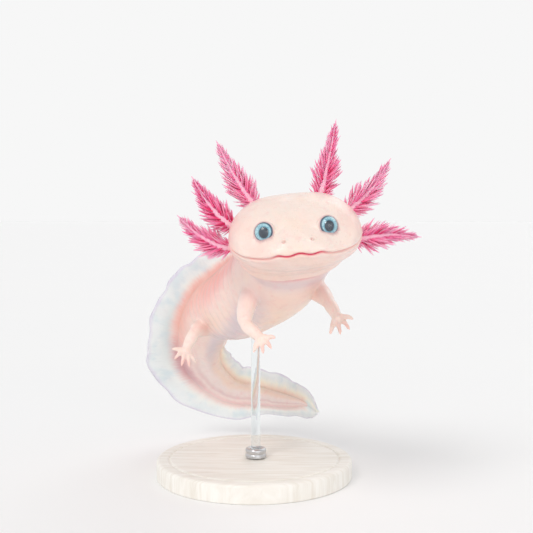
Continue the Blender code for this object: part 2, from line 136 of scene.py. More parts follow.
Leg = namedtuple("Leg", "name joints radii digits sole")
FORELEG = (3.4, 3.0, 2.0, 1.5)
HINDLEG = (3.9, 3.3, 2.1, 1.5)
LEGS = [
    Leg(
        "foreleg_right",
        [(1.5, -19.0, 64.0), (-1.3, -28.4, 60.4), (-1.9, -35.9, 54.1), (2.2, -41.0, 50.6)],
        FORELEG,
        [(6.6, -45.0, 51.2), (5.4, -46.4, 48.3), (3.1, -45.6, 46.8), (0.2, -43.0, 46.8)],
        (0.5, -0.6, 0.6),
    ),
    Leg(
        "foreleg_left",
        [(14.5, -15.5, 66.0), (19.6, -23.6, 62.4), (22.1, -32.6, 59.8), (24.0, -38.7, 56.4)],
        FORELEG,
        [(28.4, -41.8, 56.0), (27.2, -43.6, 53.2), (24.6, -43.6, 51.8), (21.8, -41.2, 51.6)],
        (0.2, -0.7, 0.6),
    ),
    Leg(
        "hindleg_right",
        [(-13.5, 17.0, 52.0), (-16.9, 8.4, 48.2), (-19.6, -0.4, 46.8), (-21.9, -3.2, 42.0)],
        HINDLEG,
        [
            (-26.6, -5.0, 42.4),
            (-25.6, -6.6, 39.2),
            (-23.2, -7.0, 37.0),
            (-20.6, -5.8, 36.4),
            (-18.6, -3.2, 37.4),
        ],
        (-0.2, -0.9, 0.3),
    ),
    Leg(
        "hindleg_left",
        [(-12.0, 18.0, 52.0), (-7.6, 26.6, 57.4), (-5.6, 35.4, 58.8), (-9.4, 41.4, 55.2)],
        HINDLEG,
        [
            (-9.6, 47.4, 55.6),
            (-12.2, 47.8, 54.2),
            (-14.8, 46.8, 53.0),
            (-16.0, 44.0, 52.2),
            (-15.0, 41.0, 51.8),
        ],
        (0.3, 0.6, 0.7),
    ),
]


# ---------------------------------------------------------------- lines and sections


def unit(vectors):
    vectors = np.asarray(vectors, float)
    return vectors / np.linalg.norm(vectors, axis=-1, keepdims=True)


def smooth(knots, values, at):
    """The smooth curve through values at knots, read at an array of places."""
    knots = np.asarray(knots, float)
    values = np.asarray(values, float)
    slopes = np.gradient(values, knots, axis=0)
    i = np.clip(np.searchsorted(knots, at, side="right") - 1, 0, len(knots) - 2)
    span = knots[i + 1] - knots[i]
    u = (at - knots[i]) / span
    if values.ndim > 1:
        span = span[:, None]
        u = u[:, None]
    start = (2 * u**3 - 3 * u**2 + 1) * values[i] + (u**3 - 2 * u**2 + u) * span * slopes[i]
    end = (3 * u**2 - 2 * u**3) * values[i + 1] + (u**3 - u**2) * span * slopes[i + 1]
    return start + end


def step_up(value, low, high):
    """0 below low, 1 above high, and smooth between."""
    share = np.clip((value - low) / (high - low), 0.0, 1.0)
    return share * share * (3 - 2 * share)


def hump(value, centre, width):
    return np.exp(-(((value - centre) / width) ** 2))


def bend(value, power):
    return np.sign(value) * np.abs(value) ** power


class Line:
    """A smooth line through places, with the directions ahead, up and to the side at each distance."""

    def __init__(self, places, ups):
        self.places = np.array(places, float)
        self.ups = unit(ups)
        steps = np.linalg.norm(np.diff(self.places, axis=0), axis=1)
        self.knots = np.concatenate([[0.0], np.cumsum(steps)])
        self.length = float(self.knots[-1])

    def at(self, s):
        s = np.atleast_1d(s)
        tiny = 0.2 * MM
        place = smooth(self.knots, self.places, s)
        ahead = unit(smooth(self.knots, self.places, s + tiny) - smooth(self.knots, self.places, s - tiny))
        up = smooth(self.knots, self.ups, s)
        up = unit(up - ahead * (up * ahead).sum(axis=1, keepdims=True))
        return place, ahead, up, np.cross(ahead, up)


SPINE_LINE = Line([np.array(row.place) * MM for row in SPINE], [row.back for row in SPINE])


def spine_size(field, s):
    return smooth(SPINE_LINE.knots, [getattr(row, field) for row in SPINE], s) * MM


def rounding(s, reach, power):
    share = np.clip(s / reach, 0.0, 1.0)
    return (1 - (1 - share) ** power) ** (1 / power)


def flesh_sizes(s):
    """Half-width, height above and depth below the spine."""
    width = spine_size("width", s) * rounding(s, SNOUT_LENGTH, WIDTH_ROUNDING)
    top = spine_size("top", s) * rounding(s, SNOUT_LENGTH * 1.05, TOP_ROUNDING)
    bottom = spine_size("bottom", s) * rounding(s, SNOUT_LENGTH, BOTTOM_ROUNDING)
    return width, top, bottom


def head_directions():
    """The crown's place, and the directions to the snout, up and to the animal's left."""
    snout, crown = SPINE_LINE.places[:2]
    forward = unit(snout - crown)
    up = SPINE_LINE.ups[1]
    up = unit(up - forward * np.dot(up, forward))
    return crown, forward, up, np.cross(up, forward)


def eye_place(sign):
    """An eye's centre, the way its socket faces and the way its pupil looks."""
    crown, forward, up, side = head_directions()

    def towards(parts):
        return parts[0] * forward + sign * parts[1] * side + parts[2] * up

    return crown + towards(EYE_PLACE), unit(towards(EYE_AXIS)), unit(towards(EYE_GAZE))


def around(sides):
    return np.arange(sides) * TURN / sides


def tube(line, s, wide, thin=None, sides=24):
    """Sections of a limb along a line, one row for each distance."""
    place, _, up, side = line.at(s)
    turns = around(sides)
    wide = np.broadcast_to(wide, len(s))[:, None, None]
    thin = wide if thin is None else np.broadcast_to(thin, len(s))[:, None, None]
    sideways = wide * np.cos(turns)[None, :, None] * side[:, None]
    upright = thin * np.sin(turns)[None, :, None] * up[:, None]
    return place[:, None] + sideways + upright


# ---------------------------------------------------------------- meshes


def mesh_of(name, grids):
    """One mesh of closed lofts. Each grid is rows of equally many points round a section."""
    points, faces, first = [], [], 0
    for grid in grids:
        rows, sides, _ = grid.shape
        points.append(grid.reshape(-1, 3))
        corner = first + np.arange(rows * sides).reshape(rows, sides)
        beside = np.roll(corner, -1, axis=1)
        quads = np.stack([corner[:-1], beside[:-1], beside[1:], corner[1:]], axis=-1).reshape(-1, 4)
        faces.extend(quads.tolist())
        faces.append(corner[0][::-1].tolist())
        faces.append(corner[-1].tolist())
        first += rows * sides
    mesh = bpy.data.meshes.new(name)
    mesh.from_pydata(np.concatenate(points).tolist(), [], faces)
    face_outwards(mesh)
    return mesh


def face_outwards(mesh):
    shape = bmesh.new()
    shape.from_mesh(mesh)
    bmesh.ops.recalc_face_normals(shape, faces=shape.faces[:])
    shape.to_mesh(mesh)
    shape.free()


def add_piece(name, mesh, finish=None):
    made = bpy.data.objects.new(name, mesh)
    bpy.context.scene.collection.objects.link(made)
    if finish is not None:
        mesh.materials.clear()
        mesh.materials.append(finish)
    mesh.shade_smooth()
    return made


def settle(piece, change):
    """Replaces a piece's mesh with what its one modifier makes of it."""
    bpy.context.view_layer.update()
    evaluated = piece.evaluated_get(bpy.context.evaluated_depsgraph_get())
    made = bpy.data.meshes.new_from_object(evaluated)
    piece.modifiers.remove(change)
    old = piece.data
    piece.data = made
    bpy.data.meshes.remove(old)


def places_of(mesh):
    flat = np.empty(len(mesh.vertices) * 3)
    mesh.vertices.foreach_get("co", flat)
    return flat.reshape(-1, 3)


def put_places(mesh, points):
    mesh.vertices.foreach_set("co", np.ascontiguousarray(points, np.float32).ravel())
    mesh.update()


def normals_of(mesh):
    flat = np.empty(len(mesh.vertices) * 3)
    mesh.vertex_normals.foreach_get("vector", flat)
    return flat.reshape(-1, 3)


def relax(mesh, weight, rounds):
    """Moves each point towards the middle of its neighbours, by its own weight, a number of times."""
    ends = np.empty(len(mesh.edges) * 2, np.int64)
    mesh.edges.foreach_get("vertices", ends)
    ends = ends.reshape(-1, 2)
    both = np.concatenate([ends, ends[:, ::-1]])
    count = len(mesh.vertices)
    weight = np.broadcast_to(weight, count)
    active = weight > 0.001
    both = both[active[both[:, 0]]]
    neighbours = np.maximum(np.bincount(both[:, 0], minlength=count), 1)
    points = places_of(mesh)
    for _ in range(rounds):
        total = [np.bincount(both[:, 0], points[both[:, 1], axis], count) for axis in range(3)]
        middle = np.stack(total, axis=1) / neighbours[:, None]
        points[active] += (weight[:, None] * (middle - points))[active]
    put_places(mesh, points)


def store(mesh, name, values):
    layer = mesh.attributes.new(name, "FLOAT", "POINT")
    layer.data.foreach_set("value", np.ascontiguousarray(values, np.float32))


# ---------------------------------------------------------------- materials


class Value:
    """A number, colour or vector on a socket. Python's operators on numbers add Math nodes."""

    def __init__(self, graph, socket):
        self.graph = graph
        self.socket = socket

    def __add__(self, other):
        return self.graph.math("ADD", self, other)

    def __sub__(self, other):
        return self.graph.math("SUBTRACT", self, other)

    def __rsub__(self, other):
        return self.graph.math("SUBTRACT", other, self)

    def __mul__(self, other):
        return self.graph.math("MULTIPLY", self, other)

    def __truediv__(self, other):
        return self.graph.math("DIVIDE", self, other)

    def __pow__(self, other):
        return self.graph.math("POWER", self, other)

    def __mod__(self, other):
        return self.graph.math("FLOORED_MODULO", self, other)

    __radd__ = __add__
    __rmul__ = __mul__

    def between(self, low, high):
        """0 below low, 1 above high, and smooth between."""
        spread = {"From Min": low, "From Max": high}
        settings = {"interpolation_type": "SMOOTHSTEP"}
        return self.graph.node("ShaderNodeMapRange", settings, {"Value": self, **spread})

    def near(self, centre, width):
        """1 at centre, falling to 0 at width on both sides."""
        return 1 - self.graph.math("ABSOLUTE", self - centre).between(0.0, width)


class Graph:
    """A node tree, whose nodes all come from one method."""

    def __init__(self, tree):
        self.tree = tree

    def node(self, kind, settings=None, inputs=None, output=0):
        made = self.tree.nodes.new(kind)
        for name, value in (settings or {}).items():
            setattr(made, name, value)
        for name, value in (inputs or {}).items():
            if isinstance(value, Value):
                self.tree.links.new(value.socket, made.inputs[name])
            else:
                made.inputs[name].default_value = value
        return Value(self, made.outputs[output])

    def math(self, operation, *numbers):
        return self.node("ShaderNodeMath", {"operation": operation}, dict(enumerate(numbers)))

    def vector(self, operation, *vectors):
        return self.node("ShaderNodeVectorMath", {"operation": operation}, dict(enumerate(vectors)))

    def scaled(self, vector, number):
        inputs = {"Vector": vector, "Scale": number}
        return self.node("ShaderNodeVectorMath", {"operation": "SCALE"}, inputs)


class Finish(Graph):
    """A material with a Principled shader, coloured from masks and patterns."""

    def __init__(self, name, **uniform):
        self.material = bpy.data.materials.new(name)
        self.material.use_nodes = True
        super().__init__(self.material.node_tree)
        self.tree.nodes.clear()
        self.shader = self.tree.nodes.new("ShaderNodeBsdfPrincipled")
        self.output = self.tree.nodes.new("ShaderNodeOutputMaterial")
        self.tree.links.new(self.shader.outputs[0], self.output.inputs["Surface"])
        for name, value in uniform.items():
            self.shader.inputs[name.replace("_", " ")].default_value = value

    def feed(self, name, value):
        self.tree.links.new(value.socket, self.shader.inputs[name])

    def where(self, scale=1.0, stretch=(1.0, 1.0, 1.0)):
        """The place on the object, for patterns whose size is given in metres."""
        place = self.node("ShaderNodeTexCoord", output="Object")
        factor = tuple(scale * part for part in stretch)
        return self.vector("MULTIPLY", place, factor)

    def mask(self, name):
        settings = {"attribute_type": "GEOMETRY", "attribute_name": name}
        return self.node("ShaderNodeAttribute", settings, output="Fac")

    def noise(self, place, detail=3.0, roughness=0.5, distortion=0.0):
        inputs = {"Vector": place, "Scale": 1.0, "Detail": detail}
        inputs.update({"Roughness": roughness, "Distortion": distortion})
        return self.node("ShaderNodeTexNoise", None, inputs)

    def pattern(self, scale, *settings, stretch=(1.0, 1.0, 1.0)):
        return self.noise(self.where(scale, stretch), *settings)

    def cells(self, place):
        return self.node("ShaderNodeTexVoronoi", {"feature": "F1"}, {"Vector": place, "Scale": 1.0})

    def mix(self, one, other, share):
        settings = {"data_type": "RGBA", "blend_type": "MIX"}
        return self.node("ShaderNodeMix", settings, {0: share, 6: one, 7: other}, output=2)

    def coats(self, colour, *coats):
        """Lays coats over a colour, each a colour with its share."""
        for coat, share in coats:
            colour = self.mix(colour, coat, share)
        return colour

    def bump(self, height, strength, distance):
        inputs = {"Height": height, "Strength": strength, "Distance": distance}
        self.feed("Normal", self.node("ShaderNodeBump", None, inputs))


def paint(red, green, blue):
    """A colour from a paint chart's 0 to 255 values, as linear light."""
    shares = np.array([red, green, blue]) / 255
    linear = np.where(shares <= 0.04045, shares / 12.92, ((shares + 0.055) / 1.055) ** 2.4)
    return (*linear.tolist(), 1.0)


CREAM = paint(248, 228, 218)
PEACH = paint(252, 220, 200)
BLUSH = paint(247, 202, 193)
SALMON = paint(238, 164, 148)
ROSE = paint(232, 142, 150)
PLUM = paint(196, 128, 140)
PEARL = paint(210, 200, 210)
CRIMSON = paint(234, 54, 116)
MAGENTA = paint(255, 140, 184)
PETAL = paint(255, 204, 220)
FIN_PALE = paint(244, 251, 252)
FIN_CREAM = paint(252, 248, 226)
LAVENDER = paint(222, 208, 236)
SHELL = paint(251, 238, 235)
SHADOW_LILAC = paint(204, 186, 206)
SHADOW_MIST = paint(198, 213, 218)
FIN_BLUE = paint(208, 230, 240)
LID = paint(200, 150, 156)
LIPS = paint(230, 34, 96)
NOSTRIL = paint(150, 60, 70)
IRIS_DEEP = paint(112, 176, 196)
IRIS_LIGHT = paint(196, 232, 240)
IRIS_SHADE = paint(104, 160, 182)
IRIS_OUTLINE = paint(66, 92, 112)
EYEBALL = paint(150, 158, 172)
PUPIL_BLACK = paint(44, 58, 72)


def flesh_colour(finish, along, height, limb):
    """The colour of the flesh, from how far along the body it is and how high up the flank, with painted
    shade low on the trunk and a painted shadow under the head.
    """
    soft = finish.pattern(130.0, 4.0, 0.55)
    patchy = finish.pattern(420.0, 3.0, 0.6)
    wander = (soft - 0.5) * 0.9
    level = height + wander * 0.5
    broad = finish.pattern(62.0, 3.0, 0.5, 0.4)
    body = along.between(0.15, 0.24)
    jaw = (0 - level + (broad - 0.5) * 1.2).between(-0.15, 0.9) * (1 - along.between(0.14, 0.2))
    shoulder = level.between(0.05, 0.75) * body * (1 - along.between(0.34, 0.5))
    tail = along.between(0.54, 0.66)
    back = level.between(0.24, 0.95) * along.between(0.18, 0.34) * (1 - tail * 0.86)
    # painted shade: a grey-violet band low on the flanks and belly of the trunk, where shade falls
    painted_belly_shade = level.near(-0.55, 0.42) * along.between(0.21, 0.3) * (1 - along.between(0.6, 0.72))
    # painted shadow: a lilac band on the throat just behind the head, where the head's shadow falls
    neck = along.near(0.195, 0.034) * (0.35 - level).between(0.0, 0.8) * (1 - limb)
    rim = (0 - level).between(0.74, 1.0) * along.between(0.18, 0.3)
    return finish.coats(
        CREAM,
        (BLUSH, body * 0.3),
        (PEACH, broad.between(0.5, 0.72) * 0.55),
        (BLUSH, (1 - broad).between(0.5, 0.74) * 0.5),
        (BLUSH, jaw * 0.28),
        (ROSE, shoulder * 0.62),
        (SHELL, tail * 0.55),
        (SALMON, back * 0.74),
        (PEARL, painted_belly_shade * 0.7),
        (SHADOW_LILAC, neck * 0.4),
        (PEACH, rim * 0.8),
        (ROSE, tail * level.near(0.68, 0.36) * 0.24),
        (PLUM, along.near(0.645, 0.09) * level.between(0.2, 0.85) * 0.75),
        (PLUM, tail * level.near(0.22, 0.2) * 0.26),
        (PEARL, tail * level.near(0.0, 0.4) * 0.12),
        (PEACH, tail * level.near(-0.62, 0.4) * 0.62),
        (CREAM, limb * 0.7),
        (ROSE, patchy.between(0.5, 0.78) * 0.18),
        (CREAM, soft.between(0.5, 0.75) * 0.2),
    )


def skin_finish():
    finish = Finish(
        "moist_skin",
        IOR=1.42,
        Subsurface_Weight=0.22,
        Subsurface_Radius=(1.0, 0.46, 0.36),
        Subsurface_Scale=0.9 * MM,
        Coat_Roughness=0.16,
    )
    along = finish.mask("along")
    colour = flesh_colour(finish, along, finish.mask("height"), finish.mask("limb"))
    colour = finish.coats(
        colour,
        (BLUSH, finish.mask("cheek") * 0.9),
        (PETAL, finish.mask("gill_root") * 0.6),
        (ROSE, finish.mask("gill_root") * 0.35),
        (ROSE, finish.mask("fold") * 0.6),
        (BLUSH, finish.mask("toe") * 0.8),
        (LID, finish.mask("lid") * 0.7),
        (LIPS, finish.mask("mouth")),
        (NOSTRIL, finish.mask("nostril") * 0.9),
    )
    finish.feed("Base Color", colour)
    grain = finish.pattern(1900.0, 3.0, 0.6)
    pores = finish.cells(finish.where(1150.0)).between(0.0, 0.35)
    wrinkle = finish.pattern(380.0, 5.0, 0.62, 0.5)
    finish.bump(grain * 0.35 + pores * 0.4 + wrinkle * 1.1, 0.7, 0.3 * MM)
    wet = finish.pattern(260.0, 3.0).between(0.35, 0.7)
    finish.feed("Roughness", 0.46 - wet * 0.14)
    finish.feed("Coat Weight", 0.25 + wet * 0.25)
    return finish.material


def fin_finish():
    finish = Finish(
        "translucent_fin",
        IOR=1.4,
        Subsurface_Weight=0.5,
        Subsurface_Radius=(0.9, 0.75, 0.8),
        Subsurface_Scale=2.2 * MM,
        Coat_Roughness=0.15,
    )
    out = finish.mask("out")
    along = finish.mask("along")
    lower = finish.mask("lower")
    run = finish.node("ShaderNodeCombineXYZ", None, {"X": along * 380.0, "Y": out * 2.6, "Z": lower * 7.0})
    strands = finish.noise(run, 4.0, 0.6, 0.25)
    clouds = finish.pattern(170.0, 4.0, 0.5)
    flesh = flesh_colour(finish, along, 1 - lower * 2, 0.0)
    inner = out.near(0.25, 0.5) * (0.35 + lower * 0.65)
    # painted shadow: a blue-grey patch on the dorsal fin beside the hind foot, standing for the foot's shadow
    painted_foot_shadow = out.near(0.36, 0.34) * along.near(0.58, 0.11) * (1 - lower)
    edge = (out + (clouds - 0.5) * 0.16).between(0.84, 1.0)
    membrane = finish.coats(
        FIN_PALE,
        (FIN_CREAM, inner * 0.85),
        (FIN_BLUE, clouds.between(0.42, 0.72) * 0.55),
        (PEARL, strands.between(0.52, 0.78) * 0.22),
        (SHADOW_MIST, painted_foot_shadow * 0.6),
        (LAVENDER, edge * 0.75),
    )
    rooted = (out + (strands - 0.5) * 0.3).between(0.0, 0.46)
    rooted = rooted * finish.mask("grown")
    rooted = finish.math("MAXIMUM", rooted, along.between(0.94, 0.97))
    finish.feed("Base Color", finish.mix(flesh, membrane, rooted))
    finish.feed("Alpha", 1 - (out.between(0.15, 0.75) * 0.2))
    finish.feed("Roughness", 0.34 + clouds * 0.14)
    finish.feed("Coat Weight", 0.35 + clouds * 0.2)
    finish.bump(strands * 0.8 + clouds * 0.5, 0.5, 0.18 * MM)
    return finish.material


def gill_finish():
    finish = Finish(
        "gill_filaments",
        IOR=1.3,
        Subsurface_Weight=0.5,
        Subsurface_Radius=(1.0, 0.5, 0.65),
        Subsurface_Scale=0.4 * MM,
        Coat_Roughness=0.2,
    )
    tip = finish.mask("tip")
    share = finish.mask("share")
    tone = finish.mask("tone")
    stalk = finish.mask("stalk")
    speck = finish.pattern(900.0, 3.0)
    deep = finish.mix(MAGENTA, CRIMSON, tone.between(0.2, 0.95))
    light = finish.mix(PETAL, MAGENTA, (tone - share * 0.2).between(-0.1, 0.7))
    strand = finish.mix(deep, light, (tip + (speck - 0.5) * 0.3).between(0.25, 0.9))
    strand = finish.mix(strand, PETAL, (tip * (1 - share)).between(0.4, 0.9) * 0.4)
    stem = finish.mix(PETAL, MAGENTA, share * 0.55 + speck.between(0.45, 0.7) * 0.3)
    stem = finish.mix(finish.mix(PETAL, ROSE, 0.35), stem, share.between(0.0, 0.2))
    finish.feed("Base Color", finish.mix(strand, stem, stalk))
    finish.feed("Roughness", 0.42 + speck * 0.2)
    finish.feed("Coat Weight", speck * 0.12)
    finish.bump(finish.pattern(2200.0, 2.0), 0.2, 0.04 * MM)
    return finish.material


def eye_finish():
    """Iris, pupil and dark outline, by the distance from the middle of the domed front."""
    finish = Finish("painted_eye", Roughness=0.35, IOR=1.5)
    out = finish.mask("radius")
    centre = finish.mask("pupil") / MM
    turn = finish.mask("turn")
    spokes = finish.node("ShaderNodeCombineXYZ", None, {"X": turn * 26.0, "Y": out * 900.0, "Z": 0.0})
    fibre = finish.noise(spokes, 3.0, 0.6)
    ring = (out / MM + (fibre - 0.5) * 0.2).between(2.12, 2.32)
    pupil = 1 - (centre + (fibre - 0.5) * 0.12).between(PUPIL / MM - 0.08, PUPIL / MM + 0.05)
    iris = finish.mix(IRIS_DEEP, IRIS_LIGHT, fibre.between(0.32, 0.68))
    iris = finish.mix(IRIS_SHADE, iris, centre.between(1.3, 1.7))
    white = (out / MM).between(2.52, 2.62)
    iris = finish.coats(iris, (IRIS_OUTLINE, ring), (EYEBALL, white), (PUPIL_BLACK, pupil))
    finish.feed("Base Color", iris)
    finish.bump(fibre, 0.4, 0.05 * MM)
    return finish.material


def cornea_finish():
    """A clear dome: what isn't reflected passes straight through."""
    finish = Finish("clear_cornea")
    tree = finish.tree
    clear = tree.nodes.new("ShaderNodeBsdfTransparent")
    gloss = tree.nodes.new("ShaderNodeBsdfGlossy")
    gloss.inputs["Roughness"].default_value = 0.09
    joined = tree.nodes.new("ShaderNodeMixShader")
    facing = finish.node("ShaderNodeLayerWeight", None, {"Blend": 0.5}, output="Facing")
    mirror = facing**5 * 0.55 + 0.035
    tree.links.new(mirror.socket, joined.inputs[0])
    tree.links.new(clear.outputs[0], joined.inputs[1])
    tree.links.new(gloss.outputs[0], joined.inputs[2])
    tree.links.new(joined.outputs[0], finish.output.inputs["Surface"])
    tree.nodes.remove(finish.shader)
    return finish.material


def wood_finish():
    finish = Finish("painted_wood", IOR=1.45, Coat_Roughness=0.3)
    grain = finish.pattern(55.0, 5.0, 0.6, 0.6, stretch=(1.0, 14.0, 1.0))
    pores = finish.pattern(260.0, 3.0, 0.6, stretch=(1.0, 22.0, 1.0))
    colour = finish.mix(paint(246, 243, 237), paint(232, 226, 216), grain.between(0.35, 0.7))
    colour = finish.mix(colour, paint(214, 206, 194), pores.between(0.62, 0.8) * 0.35)
    finish.feed("Base Color", colour)
    finish.feed("Roughness", 0.38 + grain * 0.15)
    finish.feed("Coat Weight", 0.2 + pores * 0.1)
    finish.bump(grain * 0.6 + pores * 0.5, 0.35, 0.1 * MM)
    return finish.material


def metal_finish():
    finish = Finish("brushed_metal", Metallic=1.0)
    lines = finish.pattern(300.0, 3.0, 0.6, stretch=(1.0, 1.0, 60.0))
    finish.feed("Base Color", finish.mix(paint(186, 186, 188), paint(218, 218, 220), lines))
    finish.feed("Roughness", 0.24 + lines * 0.14)
    finish.bump(lines, 0.3, 0.04 * MM)
    return finish.material


def acrylic_finish():
    finish = Finish("clear_acrylic", IOR=1.49, Transmission_Weight=1.0)
    haze = finish.pattern(400.0, 2.0)
    finish.feed("Base Color", finish.mix(paint(250, 252, 252), paint(240, 247, 248), haze))
    finish.feed("Roughness", 0.02 + haze * 0.05)
    return finish.material


def floor_finish():
    finish = Finish("studio_floor", Roughness=0.8)
    cloud = finish.pattern(6.0, 2.0)
    finish.feed("Base Color", finish.mix(paint(250, 250, 250), paint(248, 248, 249), cloud))
    return finish.material


# ---------------------------------------------------------------- the skin


BODY_STEP = 0.4 * MM
BODY_SIDES = 176
COSTAL_SPACING = 3.7
MUSCLE_SPACING = 3.3
GULAR_FOLD = 33.6
THROAT_FOLDS = [(29.0, 0.7, 0.12, 0.3, 0.8), (40.5, 0.8, 0.14, 0.2, 0.7)]


def body_swell(s, turns):
    """How far the skin stands out from the plain body, over rows of distances and columns of angles."""
    s = (s / MM)[:, None]
    sine = np.sin(turns)[None, :]
    cosine = np.abs(np.cos(turns))[None, :]
    flank = step_up(cosine, 0.25, 0.75)
    slant = s + 2.2 * sine
    trunk = step_up(s, 49, 55) * (1 - step_up(s, 92, 100))
    costal = (0.5 + 0.5 * np.cos(slant * TURN / COSTAL_SPACING)) ** 5
    swell = (0.12 - 0.34 * costal) * trunk * flank
    tail = step_up(s, 108, 122) * (1 - step_up(s, 168, 184))
    chevron = s - 3.0 * np.abs(sine) + 1.2 * hump(np.abs(sine), 0.0, 0.35)
    muscle = (0.5 + 0.5 * np.cos(chevron * TURN / MUSCLE_SPACING)) ** 5
    swell = swell - 0.17 * muscle * tail * step_up(cosine, 0.15, 0.6)
    midline = hump(sine, 0.02, 0.10) * step_up(s, 56, 70) * (1 - step_up(s, 176, 186))
    swell = swell - 0.22 * midline
    below = step_up(-sine, -0.15, 0.35)
    throat = GULAR_FOLD + 1.6 * cosine
    swell = swell + below * (0.55 * hump(s, throat - 1.5, 1.5) - 0.75 * hump(s, throat + 0.35, 0.75))
    for place, width, depth, low, high in THROAT_FOLDS:
        swell = swell - depth * below * hump(s, place, width) * step_up(-sine, low, high)
    above = step_up(sine, 0.1, 0.5)
    swell = swell + 0.4 * above * hump(cosine, 0.55, 0.32) * hump(s, 21.0, 6.0)
    swell = swell - 0.35 * hump(cosine, 0.0, 0.22) * above * hump(s, 17.0, 7.0)
    swell = swell - 0.3 * above * hump(cosine, 0.0, 0.1) * step_up(s, 24, 30) * (1 - step_up(s, 42, 50))
    swell = swell + 0.8 * hump(s, VENT / MM - 1.0, 3.0) * step_up(-sine, 0.75, 1.0)
    return swell * MM


def body_grid():
    """The body's sections, from the snout's tip to the end of the tail's flesh."""
    quarter = np.linspace(0.01, math.pi / 2, 64)
    snout = SNOUT_LENGTH * (1 - np.cos(quarter))
    s = np.concatenate([snout, np.arange(SNOUT_LENGTH + BODY_STEP, FLESH_END, BODY_STEP)])
    turns = around(BODY_SIDES)
    place, _, up, side = SPINE_LINE.at(s)
    width, top, bottom = flesh_sizes(s)
    sine = np.sin(turns)[None, :]
    power = np.where(sine > 0, BACK_POWER, BELLY_POWER)
    swell = body_swell(s, turns) * step_up(s, 0.0, 4 * MM)[:, None]
    across = (width[:, None] + swell) * bend(np.cos(turns)[None, :], power)
    height = np.where(sine > 0, top[:, None], bottom[:, None]) + swell
    rise = height * bend(sine, power)
    return place[:, None] + across[..., None] * side[:, None] + rise[..., None] * up[:, None]


def leg_line(leg):
    """A leg's line to the middle of its palm, its toe tips and the way its sole faces."""
    joints = [np.array(place) * MM for place in leg.joints]
    tips = np.array(leg.digits) * MM
    palm = joints[3] + 0.36 * (tips.mean(axis=0) - joints[3])
    sole = unit(leg.sole)
    return Line(joints + [palm], [sole] * 5), palm, tips, sole


def leg_grids(leg):
    """Limb, palm and toes, which overlap and become one in the skin."""
    line, palm, tips, sole = leg_line(leg)
    wrist = leg.radii[-1] * MM
    s = np.arange(0, line.length, 0.4 * MM)
    radius = smooth(line.knots, [*leg.radii, leg.radii[-1]], s) * MM
    knee = line.knots[2]
    muscle = 0.12 * hump(s, knee * 0.62, knee * 0.2) + 0.16 * hump(s, (knee + line.knots[3]) / 2, 2.2 * MM)
    crease = -0.10 * hump(s, knee, 0.8 * MM) - 0.07 * hump(s, line.knots[3], 0.7 * MM)
    grids = [tube(line, s, radius * (1 + muscle * 0.6 + crease))]

    heel = line.places[3]
    ahead = unit(palm - heel)
    spread = unit(tips[0] - tips[-1])
    broad = unit(spread - ahead * np.dot(spread, ahead))
    flat = np.cross(ahead, broad)
    palm_line = Line([heel - 0.6 * MM * ahead, heel, palm, palm + 0.9 * MM * ahead], [flat] * 4)
    s = np.linspace(0, palm_line.length, 18)
    u = s / palm_line.length
    wide = wrist * (0.85 + 0.85 * np.sin(u * math.pi * 0.72)) * np.sqrt(1.02 - u**6)
    thin = wrist * (0.95 - 0.5 * u) * np.sqrt(1.02 - u**6)
    grids.append(tube(palm_line, s, wide, thin))

    last = len(tips) - 1
    for number, tip in enumerate(tips):
        spot = palm + (1 - 2 * number / last) * 1.3 * wrist * spread - 0.5 * MM * ahead
        arch = (spot + tip) / 2 + 0.45 * MM * sole
        toe = Line([spot, arch, tip], [sole] * 3)
        s = np.linspace(0, toe.length, 26)
        u = s / toe.length
        knuckle = 0.07 * hump(u, 0.45, 0.08) + 0.06 * hump(u, 0.75, 0.07)
        radius = (0.84 - 0.44 * u + knuckle) * np.sqrt(np.clip(1.02 - u**9, 0, 1)) * MM
        grids.append(tube(toe, s, radius, sides=16))
    return grids


def gill_line(gill):
    """A gill's line from inside the head, out through the skin and on to its tip."""
    sign = 1 if gill.side == "left" else -1
    turn = math.radians(gill.angle if sign > 0 else 180 - gill.angle)
    s = np.array([GILL_ROOT])
    place, _, up, side = (row[0] for row in SPINE_LINE.at(s))
    width, top, bottom = (float(size[0]) for size in flesh_sizes(s))
    power = BACK_POWER if math.sin(turn) > 0 else BELLY_POWER
    tall = top if math.sin(turn) > 0 else bottom

    def on_skin(grow):
        across = (width + grow) * bend(math.cos(turn), power)
        return place + across * side + (tall + grow) * bend(math.sin(turn), power) * up

    root = on_skin(0.0)
    inside = on_skin(-3.0 * MM)
    tip = np.array(gill.tip) * MM
    middle = (root + tip) / 2 + np.array(gill.bow) * MM
    return Line([inside, root, middle, tip], [GILL_FACING] * 4)


def gill_root_grid(gill):
    """The skin's own collar round the foot of a gill."""
    line = gill_line(gill)
    s = np.linspace(0, line.knots[1] + 1.6 * MM, 14)
    u = s / s[-1]
    return tube(line, s, (2.8 - 1.3 * u) * MM, (2.4 - 1.15 * u) * MM)


def along_body(points):
    """Where points are on the body: the distance along the spine, how far to the left and up as shares of
    the body's size there, and the level, 1 on the plain body's skin and more on whatever grows from it."""
    s = np.arange(0, SPINE_LINE.length, 0.25 * MM)
    place, ahead, up, side = SPINE_LINE.at(s)
    nearest = np.empty(len(points), np.int64)
    for first in range(0, len(points), NEAR_POINTS):
        apart = points[first : first + NEAR_POINTS, None] - place[None]
        nearest[first : first + NEAR_POINTS] = (apart * apart).sum(axis=2).argmin(axis=1)
    offset = points - place[nearest]
    along = s[nearest] + np.clip((offset * ahead[nearest]).sum(axis=1), -0.2 * MM, 0.2 * MM)
    left = (offset * side[nearest]).sum(axis=1)
    rise = (offset * up[nearest]).sum(axis=1)
    width, top, bottom = flesh_sizes(np.maximum(along, 0.5 * MM))
    flat = left / width
    tall = rise / np.where(rise > 0, top, bottom)
    level = np.hypot(flat, tall)
    return along, flat, tall, level


def solid_of(mesh):
    faces = [tuple(face.vertices) for face in mesh.polygons]
    return BVHTree.FromPolygons([tuple(point) for point in places_of(mesh)], faces)


